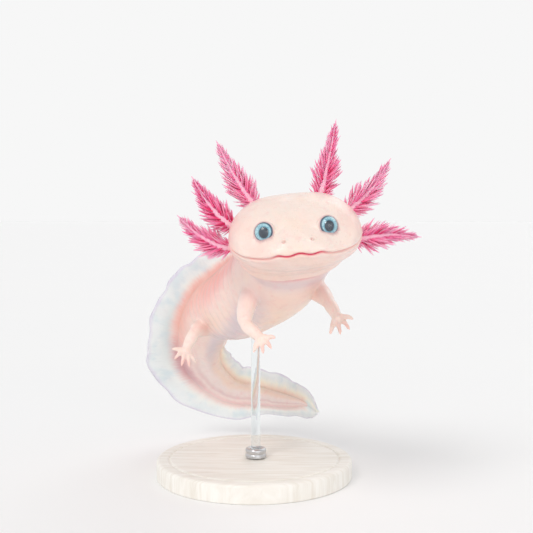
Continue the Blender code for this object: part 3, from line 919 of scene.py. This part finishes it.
def mouth_line(solid):
    """Points on the skin along the mouth, from corner to corner, and how far round the head each is."""
    crown, forward, up, side = head_directions()
    middle = crown + 3 * MM * forward
    turn = np.linspace(-MOUTH_CORNER, MOUTH_CORNER, 331)
    bow = 0.75 * hump(turn, 0, 6.0) + 0.6 * hump(np.abs(turn), 16, 5)
    height = -1.25 - 0.35 * hump(np.abs(turn), 32, 14) + bow + 1.7 * step_up(np.abs(turn), 45, MOUTH_CORNER)
    level = -0.4 * MM
    points = []
    for angle, rise in zip(np.radians(turn), height):
        start = middle + (rise * MM + level) * up
        way = math.cos(angle) * forward + math.sin(angle) * side
        points.append(np.array(solid.ray_cast(Vector(start), Vector(way))[0]))
    return np.array(points), np.abs(turn)


def nearest_on(line, points, chosen):
    """For the chosen points, the nearest of a line's points and how far it is."""
    index = np.zeros(len(points), np.int64)
    apart = np.full(len(points), 1.0)
    rows = np.flatnonzero(chosen)
    for first in range(0, len(rows), NEAR_POINTS):
        part = rows[first : first + NEAR_POINTS]
        gaps = np.linalg.norm(points[part][:, None] - line[None], axis=2)
        index[part] = gaps.argmin(axis=1)
        apart[part] = gaps.min(axis=1)
    return index, apart


def mouth_masks(points, mouth):
    """Height above the mouth's line for the points near it, and how strong and how red it is there."""
    line, turn = mouth
    crown, forward, up, _ = head_directions()
    index, apart = nearest_on(line, points, (points - crown) @ forward > -2 * MM)
    above = (points - line[index]) @ up
    strength = (1 - step_up(turn[index], MOUTH_CORNER - 12, MOUTH_CORNER)) * (apart < 4 * MM)
    return above, strength, 1 - step_up(turn[index], 13, 24)


def shape_mouth(mesh, mouth):
    """The line between the lips, with the upper lip full over the lower."""
    points = places_of(mesh)
    normals = normals_of(mesh)
    above, strength, _ = mouth_masks(points, mouth)
    above = above / MM
    groove = -0.55 * hump(above, -0.05, 0.26)
    upper = 0.26 * hump(above, 0.75, 0.55)
    lower = 0.16 * hump(above, -0.85, 0.5) - 0.18 * hump(above, -1.9, 0.9)
    move = (groove + upper + lower) * strength * MM
    put_places(mesh, points + normals * move[:, None])


def round_eye(points, sign):
    """From an eye's centre to the points: the offset, how far it is, and its angle from the socket's axis."""
    centre, axis, _ = eye_place(sign)
    offset = points - centre
    reach = np.linalg.norm(offset, axis=1)
    angle = np.degrees(np.arccos(np.clip((offset @ axis) / reach, -1, 1)))
    return centre, offset, reach, angle


def open_eyes(mesh):
    """Sinks the skin under each eyeball and raises a soft rim round it."""
    points = places_of(mesh)
    opening = math.degrees(EYE_OPENING)
    for sign in (1, -1):
        centre, offset, reach, angle = round_eye(points, sign)
        sunk = 0.4 * EYE_RADIUS
        rim = EYE_RADIUS + 0.32 * MM
        target = sunk + (rim - sunk) * step_up(angle, opening - 7, opening + 6)
        keep = step_up(angle, opening + 8, opening + 52)
        keep = np.maximum(keep, step_up(reach, 5.5 * MM, 8 * MM))
        ring = -0.16 * MM * hump(angle, opening + 34, 9) * (1 - step_up(reach, 5 * MM, 7 * MM))
        wanted = target * (1 - keep) + reach * keep + ring
        clear = EYE_RADIUS + 0.15 * MM
        wanted = np.where(angle > opening + 3, np.maximum(wanted, clear), wanted)
        points = centre + offset * (wanted / reach)[:, None]
    put_places(mesh, points)


def nostril_places(solid):
    crown, forward, up, side = head_directions()
    found = []
    for sign in (1, -1):
        start = crown + 14 * MM * forward + sign * 3.0 * MM * side + 0.4 * MM * up
        way = unit(forward + sign * 0.10 * side + 0.26 * up)
        found.append(np.array(solid.ray_cast(Vector(start), Vector(way))[0]))
    return found


def shape_nostrils(mesh, nostrils):
    points = places_of(mesh)
    normals = normals_of(mesh)
    for place in nostrils:
        apart = np.linalg.norm(points - place, axis=1) / MM
        move = -0.6 * hump(apart, 0.0, 0.38) + 0.16 * hump(apart, 0.8, 0.3)
        points = points + normals * (move * MM)[:, None]
    put_places(mesh, points)


def refine(mesh, near):
    """Halves the faces whose points are all chosen."""
    shape = bmesh.new()
    shape.from_mesh(mesh)
    shape.verts.ensure_lookup_table()
    edges = {edge for face in shape.faces if all(near[v.index] for v in face.verts) for edge in face.edges}
    bmesh.ops.subdivide_edges(shape, edges=list(edges), cuts=1, use_grid_fill=True, smooth=0.0)
    shape.to_mesh(mesh)
    shape.free()


def face_zone(points, mouth, nostrils):
    """The points round the mouth, eyes and nostrils, where the skin needs finer faces."""
    above, strength, _ = mouth_masks(points, mouth)
    zone = (np.abs(above) < 1.6 * MM) & (strength > 0)
    for sign in (1, -1):
        centre = eye_place(sign)[0]
        zone |= np.linalg.norm(points - centre, axis=1) < 4.4 * MM
    for place in nostrils:
        zone |= np.linalg.norm(points - place, axis=1) < 1.5 * MM
    return zone


def joints_weight(points):
    """How much to soften the skin where legs and gills grow out of the body."""
    weight = np.zeros(len(points))
    roots = [(leg_line(leg)[0].places[1], 4.2 * MM, 8.5 * MM) for leg in LEGS]
    roots += [(gill_line(gill).places[1], 2.6 * MM, 5.0 * MM) for gill in GILLS]
    for place, full, none in roots:
        apart = np.linalg.norm(points - place, axis=1)
        weight = np.maximum(weight, 1 - step_up(apart, full, none))
    return weight


def skin_masks(mesh, mouth, nostrils):
    """Stores where the skin is on the animal, for its colours."""
    points = places_of(mesh)
    along, flat, tall, level = along_body(points)
    limb = step_up(level, 1.12, 1.45)
    store(mesh, "along", along / SPINE_LINE.length)
    store(mesh, "height", np.clip(tall / np.maximum(level, 0.2), -1, 1))
    store(mesh, "limb", limb)
    roots = [gill_line(gill).places[1] for gill in GILLS]
    apart = np.min([np.linalg.norm(points - place, axis=1) for place in roots], axis=0)
    near_gill = 1 - 0.75 * step_up(apart, 1.2 * MM, 4 * MM) - 0.25 * step_up(apart, 4 * MM, 9 * MM)
    store(mesh, "gill_root", near_gill)
    toe = np.zeros(len(points))
    for leg in LEGS:
        _, palm, tips, _ = leg_line(leg)
        reach = np.linalg.norm(tips - palm, axis=1).max()
        apart = np.linalg.norm(points - palm, axis=1)
        beyond = (points - palm) @ unit(tips.mean(axis=0) - palm)
        toe = np.maximum(toe, step_up(beyond, 0.8 * MM, 3.5 * MM) * (apart < reach * 1.3))
    store(mesh, "toe", toe)
    head = 1 - step_up(along, 26 * MM, 36 * MM)
    cheek = head * step_up(np.abs(flat) / np.maximum(level, 0.2), 0.5, 1.0) * step_up(along, 5 * MM, 16 * MM)
    store(mesh, "cheek", cheek * (1 - limb))
    below = step_up(-tall, -0.1, 0.4)
    fold = below * hump(along / MM, 34.4, 1.1) * (1 - limb)
    store(mesh, "fold", fold)
    lid = np.zeros(len(points))
    opening = math.degrees(EYE_OPENING)
    for sign in (1, -1):
        _, _, reach, angle = round_eye(points, sign)
        beside = 1 - step_up(angle, opening + 1, opening + 12)
        lid = np.maximum(lid, beside * (1 - step_up(reach, EYE_RADIUS + 0.3 * MM, EYE_RADIUS + 0.7 * MM)))
    store(mesh, "lid", lid)
    above, strength, middle = mouth_masks(points, mouth)
    lips = hump(above / MM, -0.03, 0.26) * strength
    store(mesh, "mouth", lips * (0.25 + 0.75 * middle))
    pits = [hump(np.linalg.norm(points - place, axis=1) / MM, 0.0, 0.42) for place in nostrils]
    store(mesh, "nostril", np.maximum(*pits))


FLESH_NODES = ["head", "lower_jaw", "neck", "shoulders", "trunk", "hips"]
FLESH_NODES += ["tail_root", "tail_middle", "tail_end"]
SKIN_TRIANGLES = 188000
NEAR_POINTS = 4000
SKIN_VOXEL = 0.26


def build_skin():
    """One skin for the whole body, remeshed from closed lofts, then shaped at the face."""
    grids = [body_grid()]
    for leg in LEGS:
        grids.extend(leg_grids(leg))
    grids.extend(gill_root_grid(gill) for gill in GILLS)
    skin = add_piece("skin", mesh_of("skin", grids))
    voxel = skin.modifiers.new("One surface", "REMESH")
    voxel.mode = "VOXEL"
    voxel.voxel_size = SKIN_VOXEL * MM
    settle(skin, voxel)
    mesh = skin.data
    relax(mesh, 0.5, 4)
    relax(mesh, 0.6 * joints_weight(places_of(mesh)), 30)
    solid = solid_of(mesh)
    nostrils = nostril_places(solid)
    mouth = mouth_line(solid)
    refine(mesh, face_zone(places_of(mesh), mouth, nostrils))
    open_eyes(mesh)
    relax(mesh, 0.5 * face_zone(places_of(mesh), mouth, nostrils), 2)
    shape_mouth(mesh, mouth)
    shape_nostrils(mesh, nostrils)
    mesh.calc_loop_triangles()
    count = len(mesh.loop_triangles)
    if count > SKIN_TRIANGLES:
        thin = skin.modifiers.new("Fewer faces", "DECIMATE")
        thin.ratio = SKIN_TRIANGLES / count
        thin.use_collapse_triangulate = True
        settle(skin, thin)
    mesh = skin.data
    skin_masks(mesh, mouth, nostrils)
    mesh.materials.clear()
    mesh.materials.append(skin_finish())
    mesh.shade_smooth()
    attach(skin, "root")
    limbs = [f"{leg.name}_{part}" for leg in LEGS for part in ("upper", "lower", "foot")]
    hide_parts(*FLESH_NODES, *limbs)


# ---------------------------------------------------------------- fins


def fin_piece(name, sign, field, start, end, nodes, finish):
    """A thin wavy membrane that flares where it meets the flesh and has a round edge."""
    s = np.arange(start, end, FIN_STEP)
    place, _, up, side = SPINE_LINE.at(s)
    width, top, bottom = flesh_sizes(s)
    flesh = top if sign > 0 else bottom
    ramp = step_up(s, start, start + 14 * MM)
    rise = ramp * np.sqrt(np.clip((end - s) / (4 * MM), 0, 1))
    scallop = 1.0 + 0.040 * np.sin(s / (2.4 * MM)) + 0.018 * np.sin(s / (1.1 * MM) + 1.0)
    height = np.maximum(spine_size(field, s), FIN_LEAST) * scallop
    height = (height + 1.7 * MM * hump(s, FIN_END - 3 * MM, 9 * MM)) * (0.12 + 0.88 * rise)
    out = np.linspace(0.0, 1.0, 22) ** 1.25
    flesh = flesh - 0.7 * MM * (1 - step_up(s, start, start + 4 * MM))
    sunk = np.minimum(1.3 * MM, flesh + 0.15 * MM)
    level = (flesh - sunk)[:, None] + out[None, :] * (height + sunk)[:, None]
    over = np.maximum(level - flesh[:, None], -0.6 * MM)
    flare = (np.minimum(0.15 * width, 2.0 * MM) * ramp)[:, None]
    flare = flare * np.exp(-np.maximum(over + 0.3 * MM, 0) / (0.75 * MM))
    edge = np.sqrt(np.clip(1.0 - out**14, FIN_RIM, 1.0))[None, :]
    half = (0.24 + 0.30 * (1 - out[None, :])) * MM * edge + flare
    sway = FIN_SWAY * height[:, None] * np.sin(s / FIN_WAVE)[:, None]
    ripple = 0.035 * height[:, None] * np.sin(s / (1.75 * MM) + 0.6 * np.sin(s / (4 * MM)))[:, None]
    lean = sway * out[None, :] ** 1.4 + ripple * out[None, :] ** 3
    middle = place[:, None] + sign * level[..., None] * up[:, None] + lean[..., None] * side[:, None]
    reach = half[..., None] * side[:, None]
    grid = np.concatenate([middle + reach, (middle - reach)[:, ::-1]], axis=1)
    mesh = mesh_of(name, [grid])
    rows = len(s)
    shown = np.clip(over / np.maximum(height[:, None], FIN_LEAST), 0, 1)
    store(mesh, "out", np.concatenate([shown, shown[:, ::-1]], axis=1).ravel())
    store(mesh, "along", np.repeat(s / SPINE_LINE.length, grid.shape[1]))
    store(mesh, "lower", np.full(rows * grid.shape[1], 1.0 if sign < 0 else 0.0))
    store(mesh, "grown", np.repeat(step_up(s, start + 2 * MM, start + 13 * MM), grid.shape[1]))
    piece = add_piece(name, mesh, finish)
    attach(piece, "root")
    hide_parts(*nodes)


def build_fins():
    finish = fin_finish()
    over = [f"dorsal_fin_{part}" for part in ("back", "hips", "tail", "tip")]
    under = [f"ventral_fin_{part}" for part in ("tail", "tip")]
    fin_piece("dorsal_fin", 1, "fin_over", FIN_START, FIN_END, over, finish)
    fin_piece("ventral_fin", -1, "fin_under", VENT, FIN_END, under, finish)


# ---------------------------------------------------------------- gills

FILAMENT_ROWS = 8
FILAMENT_SPACING = 0.42 * MM
FILAMENT_LENGTH = 6.2 * MM


def filament_object():
    """One filament a metre long: a thin spindle that curves towards +Y, closed at both ends."""
    share = np.array([0.0, 0.12, 0.32, 0.54, 0.76, 0.92])
    radius = np.array([0.036, 0.056, 0.058, 0.051, 0.038, 0.020])
    curve = 0.24 * share**2
    points = [(-0.03, 0.0, 0.0)]
    for x, y, r in zip(share, curve, radius):
        points.extend([(x, y - r, 0.0), (x, y, r * 0.8), (x, y + r, 0.0), (x, y, -r * 0.8)])
    points.append((1.0, 0.25, 0.0))
    last = len(points) - 1
    faces = [(0, 1 + i, 1 + (i + 1) % 4) for i in range(4)]
    for row in range(len(share) - 1):
        one = 1 + 4 * row
        for i in range(4):
            j = (i + 1) % 4
            faces.append((one + i, one + j, one + 4 + j, one + 4 + i))
    one = last - 4
    faces += [(one + i, one + (i + 1) % 4, last) for i in range(4)]
    mesh = bpy.data.meshes.new("filament")
    mesh.from_pydata(points, [], faces)
    face_outwards(mesh)
    store(mesh, "tip", [max(point[0], 0.0) for point in points])
    store(mesh, "breadth", [point[1] for point in points])
    return bpy.data.objects.new("filament", mesh)


def plume_tree(material):
    """Filaments in rows on both sides of a stalk, leaning towards its tip and shorter towards it."""
    tree = bpy.data.node_groups.new("gill_plume", "GeometryNodeTree")
    sockets = [
        ("Stalk", "NodeSocketGeometry"),
        ("Filament", "NodeSocketObject"),
        ("Count", "NodeSocketInt"),
        ("Length", "NodeSocketFloat"),
        ("Facing", "NodeSocketVector"),
        ("Tone", "NodeSocketFloat"),
        ("Seed", "NodeSocketInt"),
    ]
    for name, kind in sockets:
        tree.interface.new_socket(name, in_out="INPUT", socket_type=kind)
    tree.interface.new_socket("Plume", in_out="OUTPUT", socket_type="NodeSocketGeometry")
    g = Graph(tree)
    entry = tree.nodes.new("NodeGroupInput")
    given = {name: Value(g, entry.outputs[name]) for name, _ in sockets}

    curve = g.node("GeometryNodeMeshToCurve", None, {"Mesh": given["Stalk"]})
    spread = tree.nodes.new("GeometryNodeCurveToPoints")
    spread.mode = "COUNT"
    tree.links.new(curve.socket, spread.inputs["Curve"])
    tree.links.new(given["Count"].socket, spread.inputs["Count"])
    points = Value(g, spread.outputs["Points"])
    tangent = Value(g, spread.outputs["Tangent"])
    copied = g.node(
        "GeometryNodeDuplicateElements", {"domain": "POINT"}, {"Geometry": points, "Amount": FILAMENT_ROWS}
    )
    index = g.node("GeometryNodeInputIndex")
    share = g.math("FLOOR", index / FILAMENT_ROWS) / (given["Count"] - 1)
    row = index % FILAMENT_ROWS
    side = (row % 2) * 2 - 1
    layer = g.math("FLOOR", row / 2) - (FILAMENT_ROWS / 2 - 1) / 2

    def chance(low, high, number):
        inputs = {2: low, 3: high, 8: given["Seed"] + number}
        return g.node("FunctionNodeRandomValue", {"data_type": "FLOAT"}, inputs, output=1)

    lean = 1.28 - g.math("MINIMUM", share * 1.6, 0.74) + chance(-0.26, 0.2, 1)
    tilt = layer * 0.5 + chance(-0.25, 0.25, 2)
    across = g.vector("NORMALIZE", g.vector("CROSS_PRODUCT", tangent, given["Facing"]))
    outwards = g.vector(
        "ADD",
        g.scaled(across, side * g.math("COSINE", tilt)),
        g.scaled(given["Facing"], g.math("SINE", tilt)),
    )
    way = g.vector(
        "ADD", g.scaled(tangent, g.math("COSINE", lean)), g.scaled(outwards, g.math("SINE", lean))
    )
    axes = {"primary_axis": "X", "secondary_axis": "Y"}
    turned = g.node("FunctionNodeAxesToRotation", axes, {"Primary Axis": way, "Secondary Axis": tangent})
    swell = g.math("MINIMUM", 0.62 + share * 2.4, 1.0)
    taper = (1 - share**1.9) ** 0.75 + 0.05
    size = given["Length"] * swell * taper * chance(0.68, 1.12, 3)
    shape = g.node("GeometryNodeObjectInfo", None, {"Object": given["Filament"]}, output="Geometry")
    scale = g.scaled((1.0, 1.0, 1.0), size)
    inputs = {"Points": copied, "Instance": shape, "Rotation": turned, "Scale": scale}
    made = g.node("GeometryNodeInstanceOnPoints", None, inputs)
    tone = given["Tone"] + chance(-0.4, 0.4, 4)
    settings = {"data_type": "FLOAT", "domain": "INSTANCE"}
    for name, value in (("share", share), ("tone", tone), ("number", index)):
        inputs = {"Geometry": made, "Name": name, "Value": value}
        made = g.node("GeometryNodeStoreNamedAttribute", settings, inputs)
    real = g.node("GeometryNodeRealizeInstances", None, {"Geometry": made})
    painted = g.node("GeometryNodeSetMaterial", None, {"Geometry": real, "Material": material})
    result = tree.nodes.new("NodeGroupOutput")
    tree.links.new(painted.socket, result.inputs["Plume"])
    return tree


def plume_mesh(name, line, tree, filament, tone, seed):
    """The filaments of one gill as a plain mesh."""
    s = np.linspace(line.knots[1] + 0.4 * MM, line.length - 1.6 * MM, 40)
    points = line.at(s)[0]
    path = bpy.data.meshes.new(name + "_path")
    path.from_pydata(points.tolist(), [(i, i + 1) for i in range(len(s) - 1)], [])
    holder = bpy.data.objects.new(name + "_path", path)
    bpy.context.scene.collection.objects.link(holder)
    grow = holder.modifiers.new("Filaments", "NODES")
    values = {
        "Filament": filament,
        "Count": round((s[-1] - s[0]) / FILAMENT_SPACING),
        "Length": FILAMENT_LENGTH,
        "Facing": tuple(unit(GILL_FACING)),
        "Tone": tone,
        "Seed": seed,
    }
    grow.node_group = tree
    for item in tree.interface.items_tree:
        if item.in_out == "INPUT" and item.name in values:
            grow[item.identifier] = values[item.name]
    settle(holder, grow)
    made = holder.data
    bpy.data.objects.remove(holder)
    return made


def read_mask(mesh, name):
    values = np.empty(len(mesh.vertices), np.float32)
    mesh.attributes[name].data.foreach_get("value", values)
    return values


def lay_out(mesh, stalk_count):
    """A map with a cell for each filament, and a strip for the stalk along the bottom."""
    number = read_mask(mesh, "number")
    tip = read_mask(mesh, "tip")
    breadth = read_mask(mesh, "breadth")
    columns = math.ceil(math.sqrt(number.max() + 1))
    cell = 0.86 / columns
    u = 0.02 + (number % columns) / columns * 0.96 + (0.12 + 0.7 * (breadth + 0.08) / 0.4) * cell
    v = 0.12 + np.floor(number / columns) * cell + (0.08 + 0.8 * tip) * cell
    u[:stalk_count] = 0.02 + 0.96 * read_mask(mesh, "share")[:stalk_count]
    v[:stalk_count] = 0.01 + 0.08 * breadth[:stalk_count]
    corners = np.empty(len(mesh.loops), np.int64)
    mesh.loops.foreach_get("vertex_index", corners)
    layer = mesh.uv_layers.new(name="OFBake")
    layer.data.foreach_set("uv", np.stack([u, v], axis=1)[corners].astype(np.float32).ravel())


def stalk_mesh(name, line):
    """The bare stem of a gill, flattened and tapering to a round tip, with its own masks."""
    s = np.linspace(0, line.length, 60)
    u = s / line.length
    taper = np.sqrt(np.clip(1.01 - u**8, 0, 1))
    wide = (1.45 - 1.15 * u) * MM * taper
    sides = 14
    mesh = mesh_of(name, [tube(line, s, wide, wide * 0.85, sides)])
    count = len(mesh.vertices)
    store(mesh, "tip", np.zeros(count))
    round_it = np.abs(np.linspace(-1, 1, sides))
    store(mesh, "breadth", np.tile(round_it, len(s)))
    beyond = np.clip((s - line.knots[1]) / (line.length - line.knots[1]), 0, 1)
    store(mesh, "share", np.repeat(beyond, sides))
    store(mesh, "tone", np.full(count, 0.5))
    store(mesh, "number", np.zeros(count))
    store(mesh, "stalk", np.ones(count))
    return mesh


def joined(name, meshes):
    shape = bmesh.new()
    for mesh in meshes:
        shape.from_mesh(mesh)
        bpy.data.meshes.remove(mesh)
    made = bpy.data.meshes.new(name)
    shape.to_mesh(made)
    shape.free()
    return made


def build_gills():
    material = gill_finish()
    tree = plume_tree(material)
    filament = filament_object()
    for seed, gill in enumerate(GILLS):
        name = f"gill_{gill.side}_{gill.name}"
        line = gill_line(gill)
        stalk = stalk_mesh(name + "_stalk", line)
        count = len(stalk.vertices)
        plume = plume_mesh(name, line, tree, filament, gill.tone, 100 * seed)
        mesh = joined(name, [stalk, plume])
        lay_out(mesh, count)
        piece = add_piece(f"{name}_plume", mesh, material)
        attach(piece, "root")
        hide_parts(name)
    bpy.data.objects.remove(filament)


# ---------------------------------------------------------------- eyes


def turned(profile, sides, centre, axis):
    """Sections round an axis, from pairs of distance along it and radius."""
    axis = unit(axis)
    across = unit(np.cross(axis, (0.3, 0.2, 1.0)))
    other = np.cross(axis, across)
    turns = around(sides)
    ring = np.cos(turns)[:, None] * across + np.sin(turns)[:, None] * other
    profile = np.array(profile)
    return centre + profile[:, 0, None, None] * axis + profile[:, 1, None, None] * ring[None]


def build_eyes():
    """Each eye is a ball with a slightly domed, painted iris under a clear dome."""
    iris_paint = eye_finish()
    clear = cornea_finish()
    tiny = 0.01 * MM
    flat = EYE_RADIUS * math.cos(IRIS_ANGLE)
    rim = EYE_RADIUS * math.sin(IRIS_ANGLE)
    for name, sign in (("left", 1), ("right", -1)):
        centre, axis, gaze = eye_place(sign)
        radii = np.linspace(tiny, rim, 32)
        dip = 0.12 * MM * hump(radii / MM, 0.0, PUPIL / MM)
        heights = flat + IRIS_BULGE * (1 - (radii / rim) ** 2) - dip
        bowl = list(zip(heights, radii))
        back = np.linspace(IRIS_ANGLE, math.pi - 0.01, 30)
        ball = [(EYE_RADIUS * math.cos(a), EYE_RADIUS * math.sin(a)) for a in back[1:]]
        profile = bowl + ball
        mesh = mesh_of(f"eye_{name}", [turned(profile, EYE_SIDES, centre, axis)])
        shown = [*radii, *(rim + np.linspace(0.1, 2, len(ball)) * MM)]
        store(mesh, "radius", np.repeat(shown, EYE_SIDES))
        offset = places_of(mesh) - centre
        aside = offset - (offset @ gaze)[:, None] * gaze
        tall = unit(np.cross(np.cross(gaze, (0.0, 0.0, 1.0)), gaze))
        aside = np.linalg.norm(aside - 0.14 * (aside @ tall)[:, None] * tall, axis=1)
        store(mesh, "pupil", np.where(offset @ gaze > 0, aside, EYE_RADIUS))
        mirror_turn = np.abs(np.linspace(-1, 1, EYE_SIDES, endpoint=False))
        store(mesh, "turn", np.tile(mirror_turn, len(profile)))
        piece = add_piece(f"eye_{name}_iris", mesh, iris_paint)
        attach(piece, "root")
        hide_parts(f"eye_{name}")

        front = np.linspace(0.004, EYE_OPENING + 0.12, 30)
        outer = [(CORNEA_RADIUS * math.cos(a), CORNEA_RADIUS * math.sin(a)) for a in front]
        inner = [(x - 0.12 * MM, max(r - 0.03 * MM, tiny)) for x, r in outer[::-1]]
        shell = mesh_of("cornea", [turned(outer + inner, EYE_SIDES, centre, axis)])
        dome = add_piece(f"cornea_{name}", shell, clear)
        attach(dome, "root")


# ---------------------------------------------------------------- the stand


BASE_SIDES = 160
FERRULE_SIDES = 96
ROD_SIDES = 48
FERRULE_BORE = 1.55 * MM


def round_edge(top, radius, edge, count):
    """The rounded upper edge of a turned piece, from its side up to its top."""
    turn = np.linspace(0, math.pi / 2, count)
    return [(top - edge + edge * math.sin(a), radius - edge + edge * math.cos(a)) for a in turn]


def build_stand():
    """Finely turned versions of the base, ferrule and rod, at the sizes of their solids. The rod's end goes
    a little further up, into the belly."""
    low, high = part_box("stand_base")
    radius = (high.x - low.x) / 2
    top = high.z
    corner = round_edge(top, radius, 1.2 * MM, 9)
    edge = 0.5 * MM
    turn = np.linspace(0, math.pi / 2, 5)
    foot = [(edge - edge * math.cos(a), radius - edge + edge * math.sin(a)) for a in turn]
    groove_at = radius - 4.2 * MM
    groove = [(top - 0.45 * MM * hump(r, 0.0, 0.35), groove_at - r * MM) for r in np.linspace(-1, 1, 13)]
    inner = [(top, r * MM) for r in (20.0, 12.0, 6.0, 0.01)]
    profile = [(0.0, 0.01 * MM), (0.0, radius * 0.5), *foot, *corner, *groove, *inner]
    mesh = mesh_of("base", [turned(profile, BASE_SIDES, np.zeros(3), (0, 0, 1))])
    mesh.materials.append(wood_finish())
    base = add_piece("stand_base_turned", mesh)
    mesh.set_sharp_from_angle(angle=math.radians(60))

    low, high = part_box("stand_ferrule")
    centre = np.array([(low.x + high.x) / 2, (low.y + high.y) / 2, 0.0])
    radius = (high.x - low.x) / 2
    rounded = round_edge(high.z, radius, 0.6 * MM, 7)
    waist = [(low.z + z * MM, radius - 0.22 * MM * hump(z, 1.3, 0.3)) for z in np.linspace(0.1, 2.2, 15)]
    lip = 0.3 * MM
    profile = [(low.z, FERRULE_BORE), (low.z, radius - 0.15 * MM), *waist, *rounded]
    profile += [(high.z, FERRULE_BORE + lip), (high.z - lip, FERRULE_BORE)]
    ring = turned(profile, FERRULE_SIDES, centre, (0, 0, 1))
    mesh = closed_ring("ferrule", ring)
    mesh.materials.append(metal_finish())
    ferrule = add_piece("stand_ferrule_turned", mesh)
    mesh.set_sharp_from_angle(angle=math.radians(50))

    low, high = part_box("stand_rod")
    radius = (high.x - low.x) / 2
    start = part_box("stand_ferrule")[0].z + 0.2 * MM
    end = high.z + 0.6 * MM
    profile = [(start, 0.01 * MM), (start, radius * 0.99), (start + 0.1 * MM, radius)]
    profile += [(z, radius) for z in np.linspace(start + 1 * MM, end - 0.2 * MM, 24)]
    profile += [(end, radius * 0.9), (end, 0.01 * MM)]
    mesh = mesh_of("rod", [turned(profile, ROD_SIDES, centre, (0, 0, 1))])
    mesh.materials.append(acrylic_finish())
    rod = add_piece("stand_rod_clear", mesh)
    mesh.set_sharp_from_angle(angle=math.radians(50))
    for piece, node, slot in (
        (base, "stand_base", "stand_base"),
        (ferrule, "stand_ferrule", "stand_metal"),
        (rod, "stand_rod", "stand_rod"),
    ):
        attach(piece, "root")
        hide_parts(node)


def closed_ring(name, grid):
    """A mesh whose sections close on themselves, with a hole through the middle."""
    rows, sides, _ = grid.shape
    corner = np.arange(rows * sides).reshape(rows, sides)
    beside = np.roll(corner, -1, axis=1)
    after = np.roll(corner, -1, axis=0)
    across = np.roll(beside, -1, axis=0)
    quads = np.stack([corner, beside, across, after], axis=-1).reshape(-1, 4)
    mesh = bpy.data.meshes.new(name)
    mesh.from_pydata(grid.reshape(-1, 3).tolist(), [], quads.tolist())
    face_outwards(mesh)
    return mesh


# ---------------------------------------------------------------- studio


Sun = namedtuple("Sun", "name place spread strength colour")
SUNS = [
    Sun("key", (-0.5, -0.75, 0.9), 24, 0.95, (1.0, 0.985, 0.96)),
    Sun("fill", (0.45, -1.0, 0.12), 34, 0.42, (0.98, 0.99, 1.0)),
    Sun("back", (0.4, 0.9, 0.8), 40, 0.35, (0.98, 0.99, 1.0)),
]
FLOOR_RADIUS = 30.0
SKY_STRENGTH = 0.93
SKY_FALL = 0.42
CAMERA_TARGET = (0.004, -0.044, 0.071)
CAMERA_DISTANCE = 0.25
CAMERA_RISE = math.radians(3)
CAMERA_ANGLE = math.radians(32.87)


def aim(thing, place, target):
    thing.location = place
    thing.rotation_euler = (Vector(target) - Vector(place)).to_track_quat("-Z", "Y").to_euler()


def build_studio():
    """A pale floor that runs out to the horizon, soft light, and the camera."""
    scene = bpy.context.scene
    floor = add_piece("floor", bpy.data.meshes.new("floor"))
    shape = bmesh.new()
    bmesh.ops.create_circle(shape, cap_ends=True, segments=96, radius=FLOOR_RADIUS)
    shape.to_mesh(floor.data)
    shape.free()
    floor.data.materials.append(floor_finish())

    world = bpy.data.worlds.new("studio")
    scene.world = world
    world.use_nodes = True
    g = Graph(world.node_tree)
    way = g.node("ShaderNodeTexCoord")
    rise = g.node("ShaderNodeSeparateXYZ", None, {"Vector": way}, output="Z")
    glow = SKY_STRENGTH - rise.between(0.3, 0.9) * SKY_FALL
    sky = world.node_tree.nodes["Background"]
    sky.inputs["Color"].default_value = (1.0, 1.0, 1.0, 1.0)
    world.node_tree.links.new(glow.socket, sky.inputs["Strength"])

    for sun in SUNS:
        light = bpy.data.lights.new(sun.name, "SUN")
        light.angle = math.radians(sun.spread)
        light.energy = sun.strength
        light.color = sun.colour
        lamp = bpy.data.objects.new(sun.name, light)
        scene.collection.objects.link(lamp)
        aim(lamp, sun.place, (0.0, 0.0, 0.0))

    camera = bpy.data.objects.new("camera", bpy.data.cameras.new("camera"))
    scene.collection.objects.link(camera)
    scene.camera = camera
    camera.data.sensor_width = 36.0
    camera.data.lens = camera.data.sensor_width / 2 / math.tan(CAMERA_ANGLE / 2)
    camera.data.clip_start = 0.01
    target = np.array(CAMERA_TARGET)
    back = np.array([0.0, -math.cos(CAMERA_RISE), math.sin(CAMERA_RISE)])
    aim(camera, target + CAMERA_DISTANCE * back, target)
    scene.view_settings.view_transform = "Standard"


build_skin()
build_fins()
build_gills()
build_eyes()
build_stand()
build_studio()
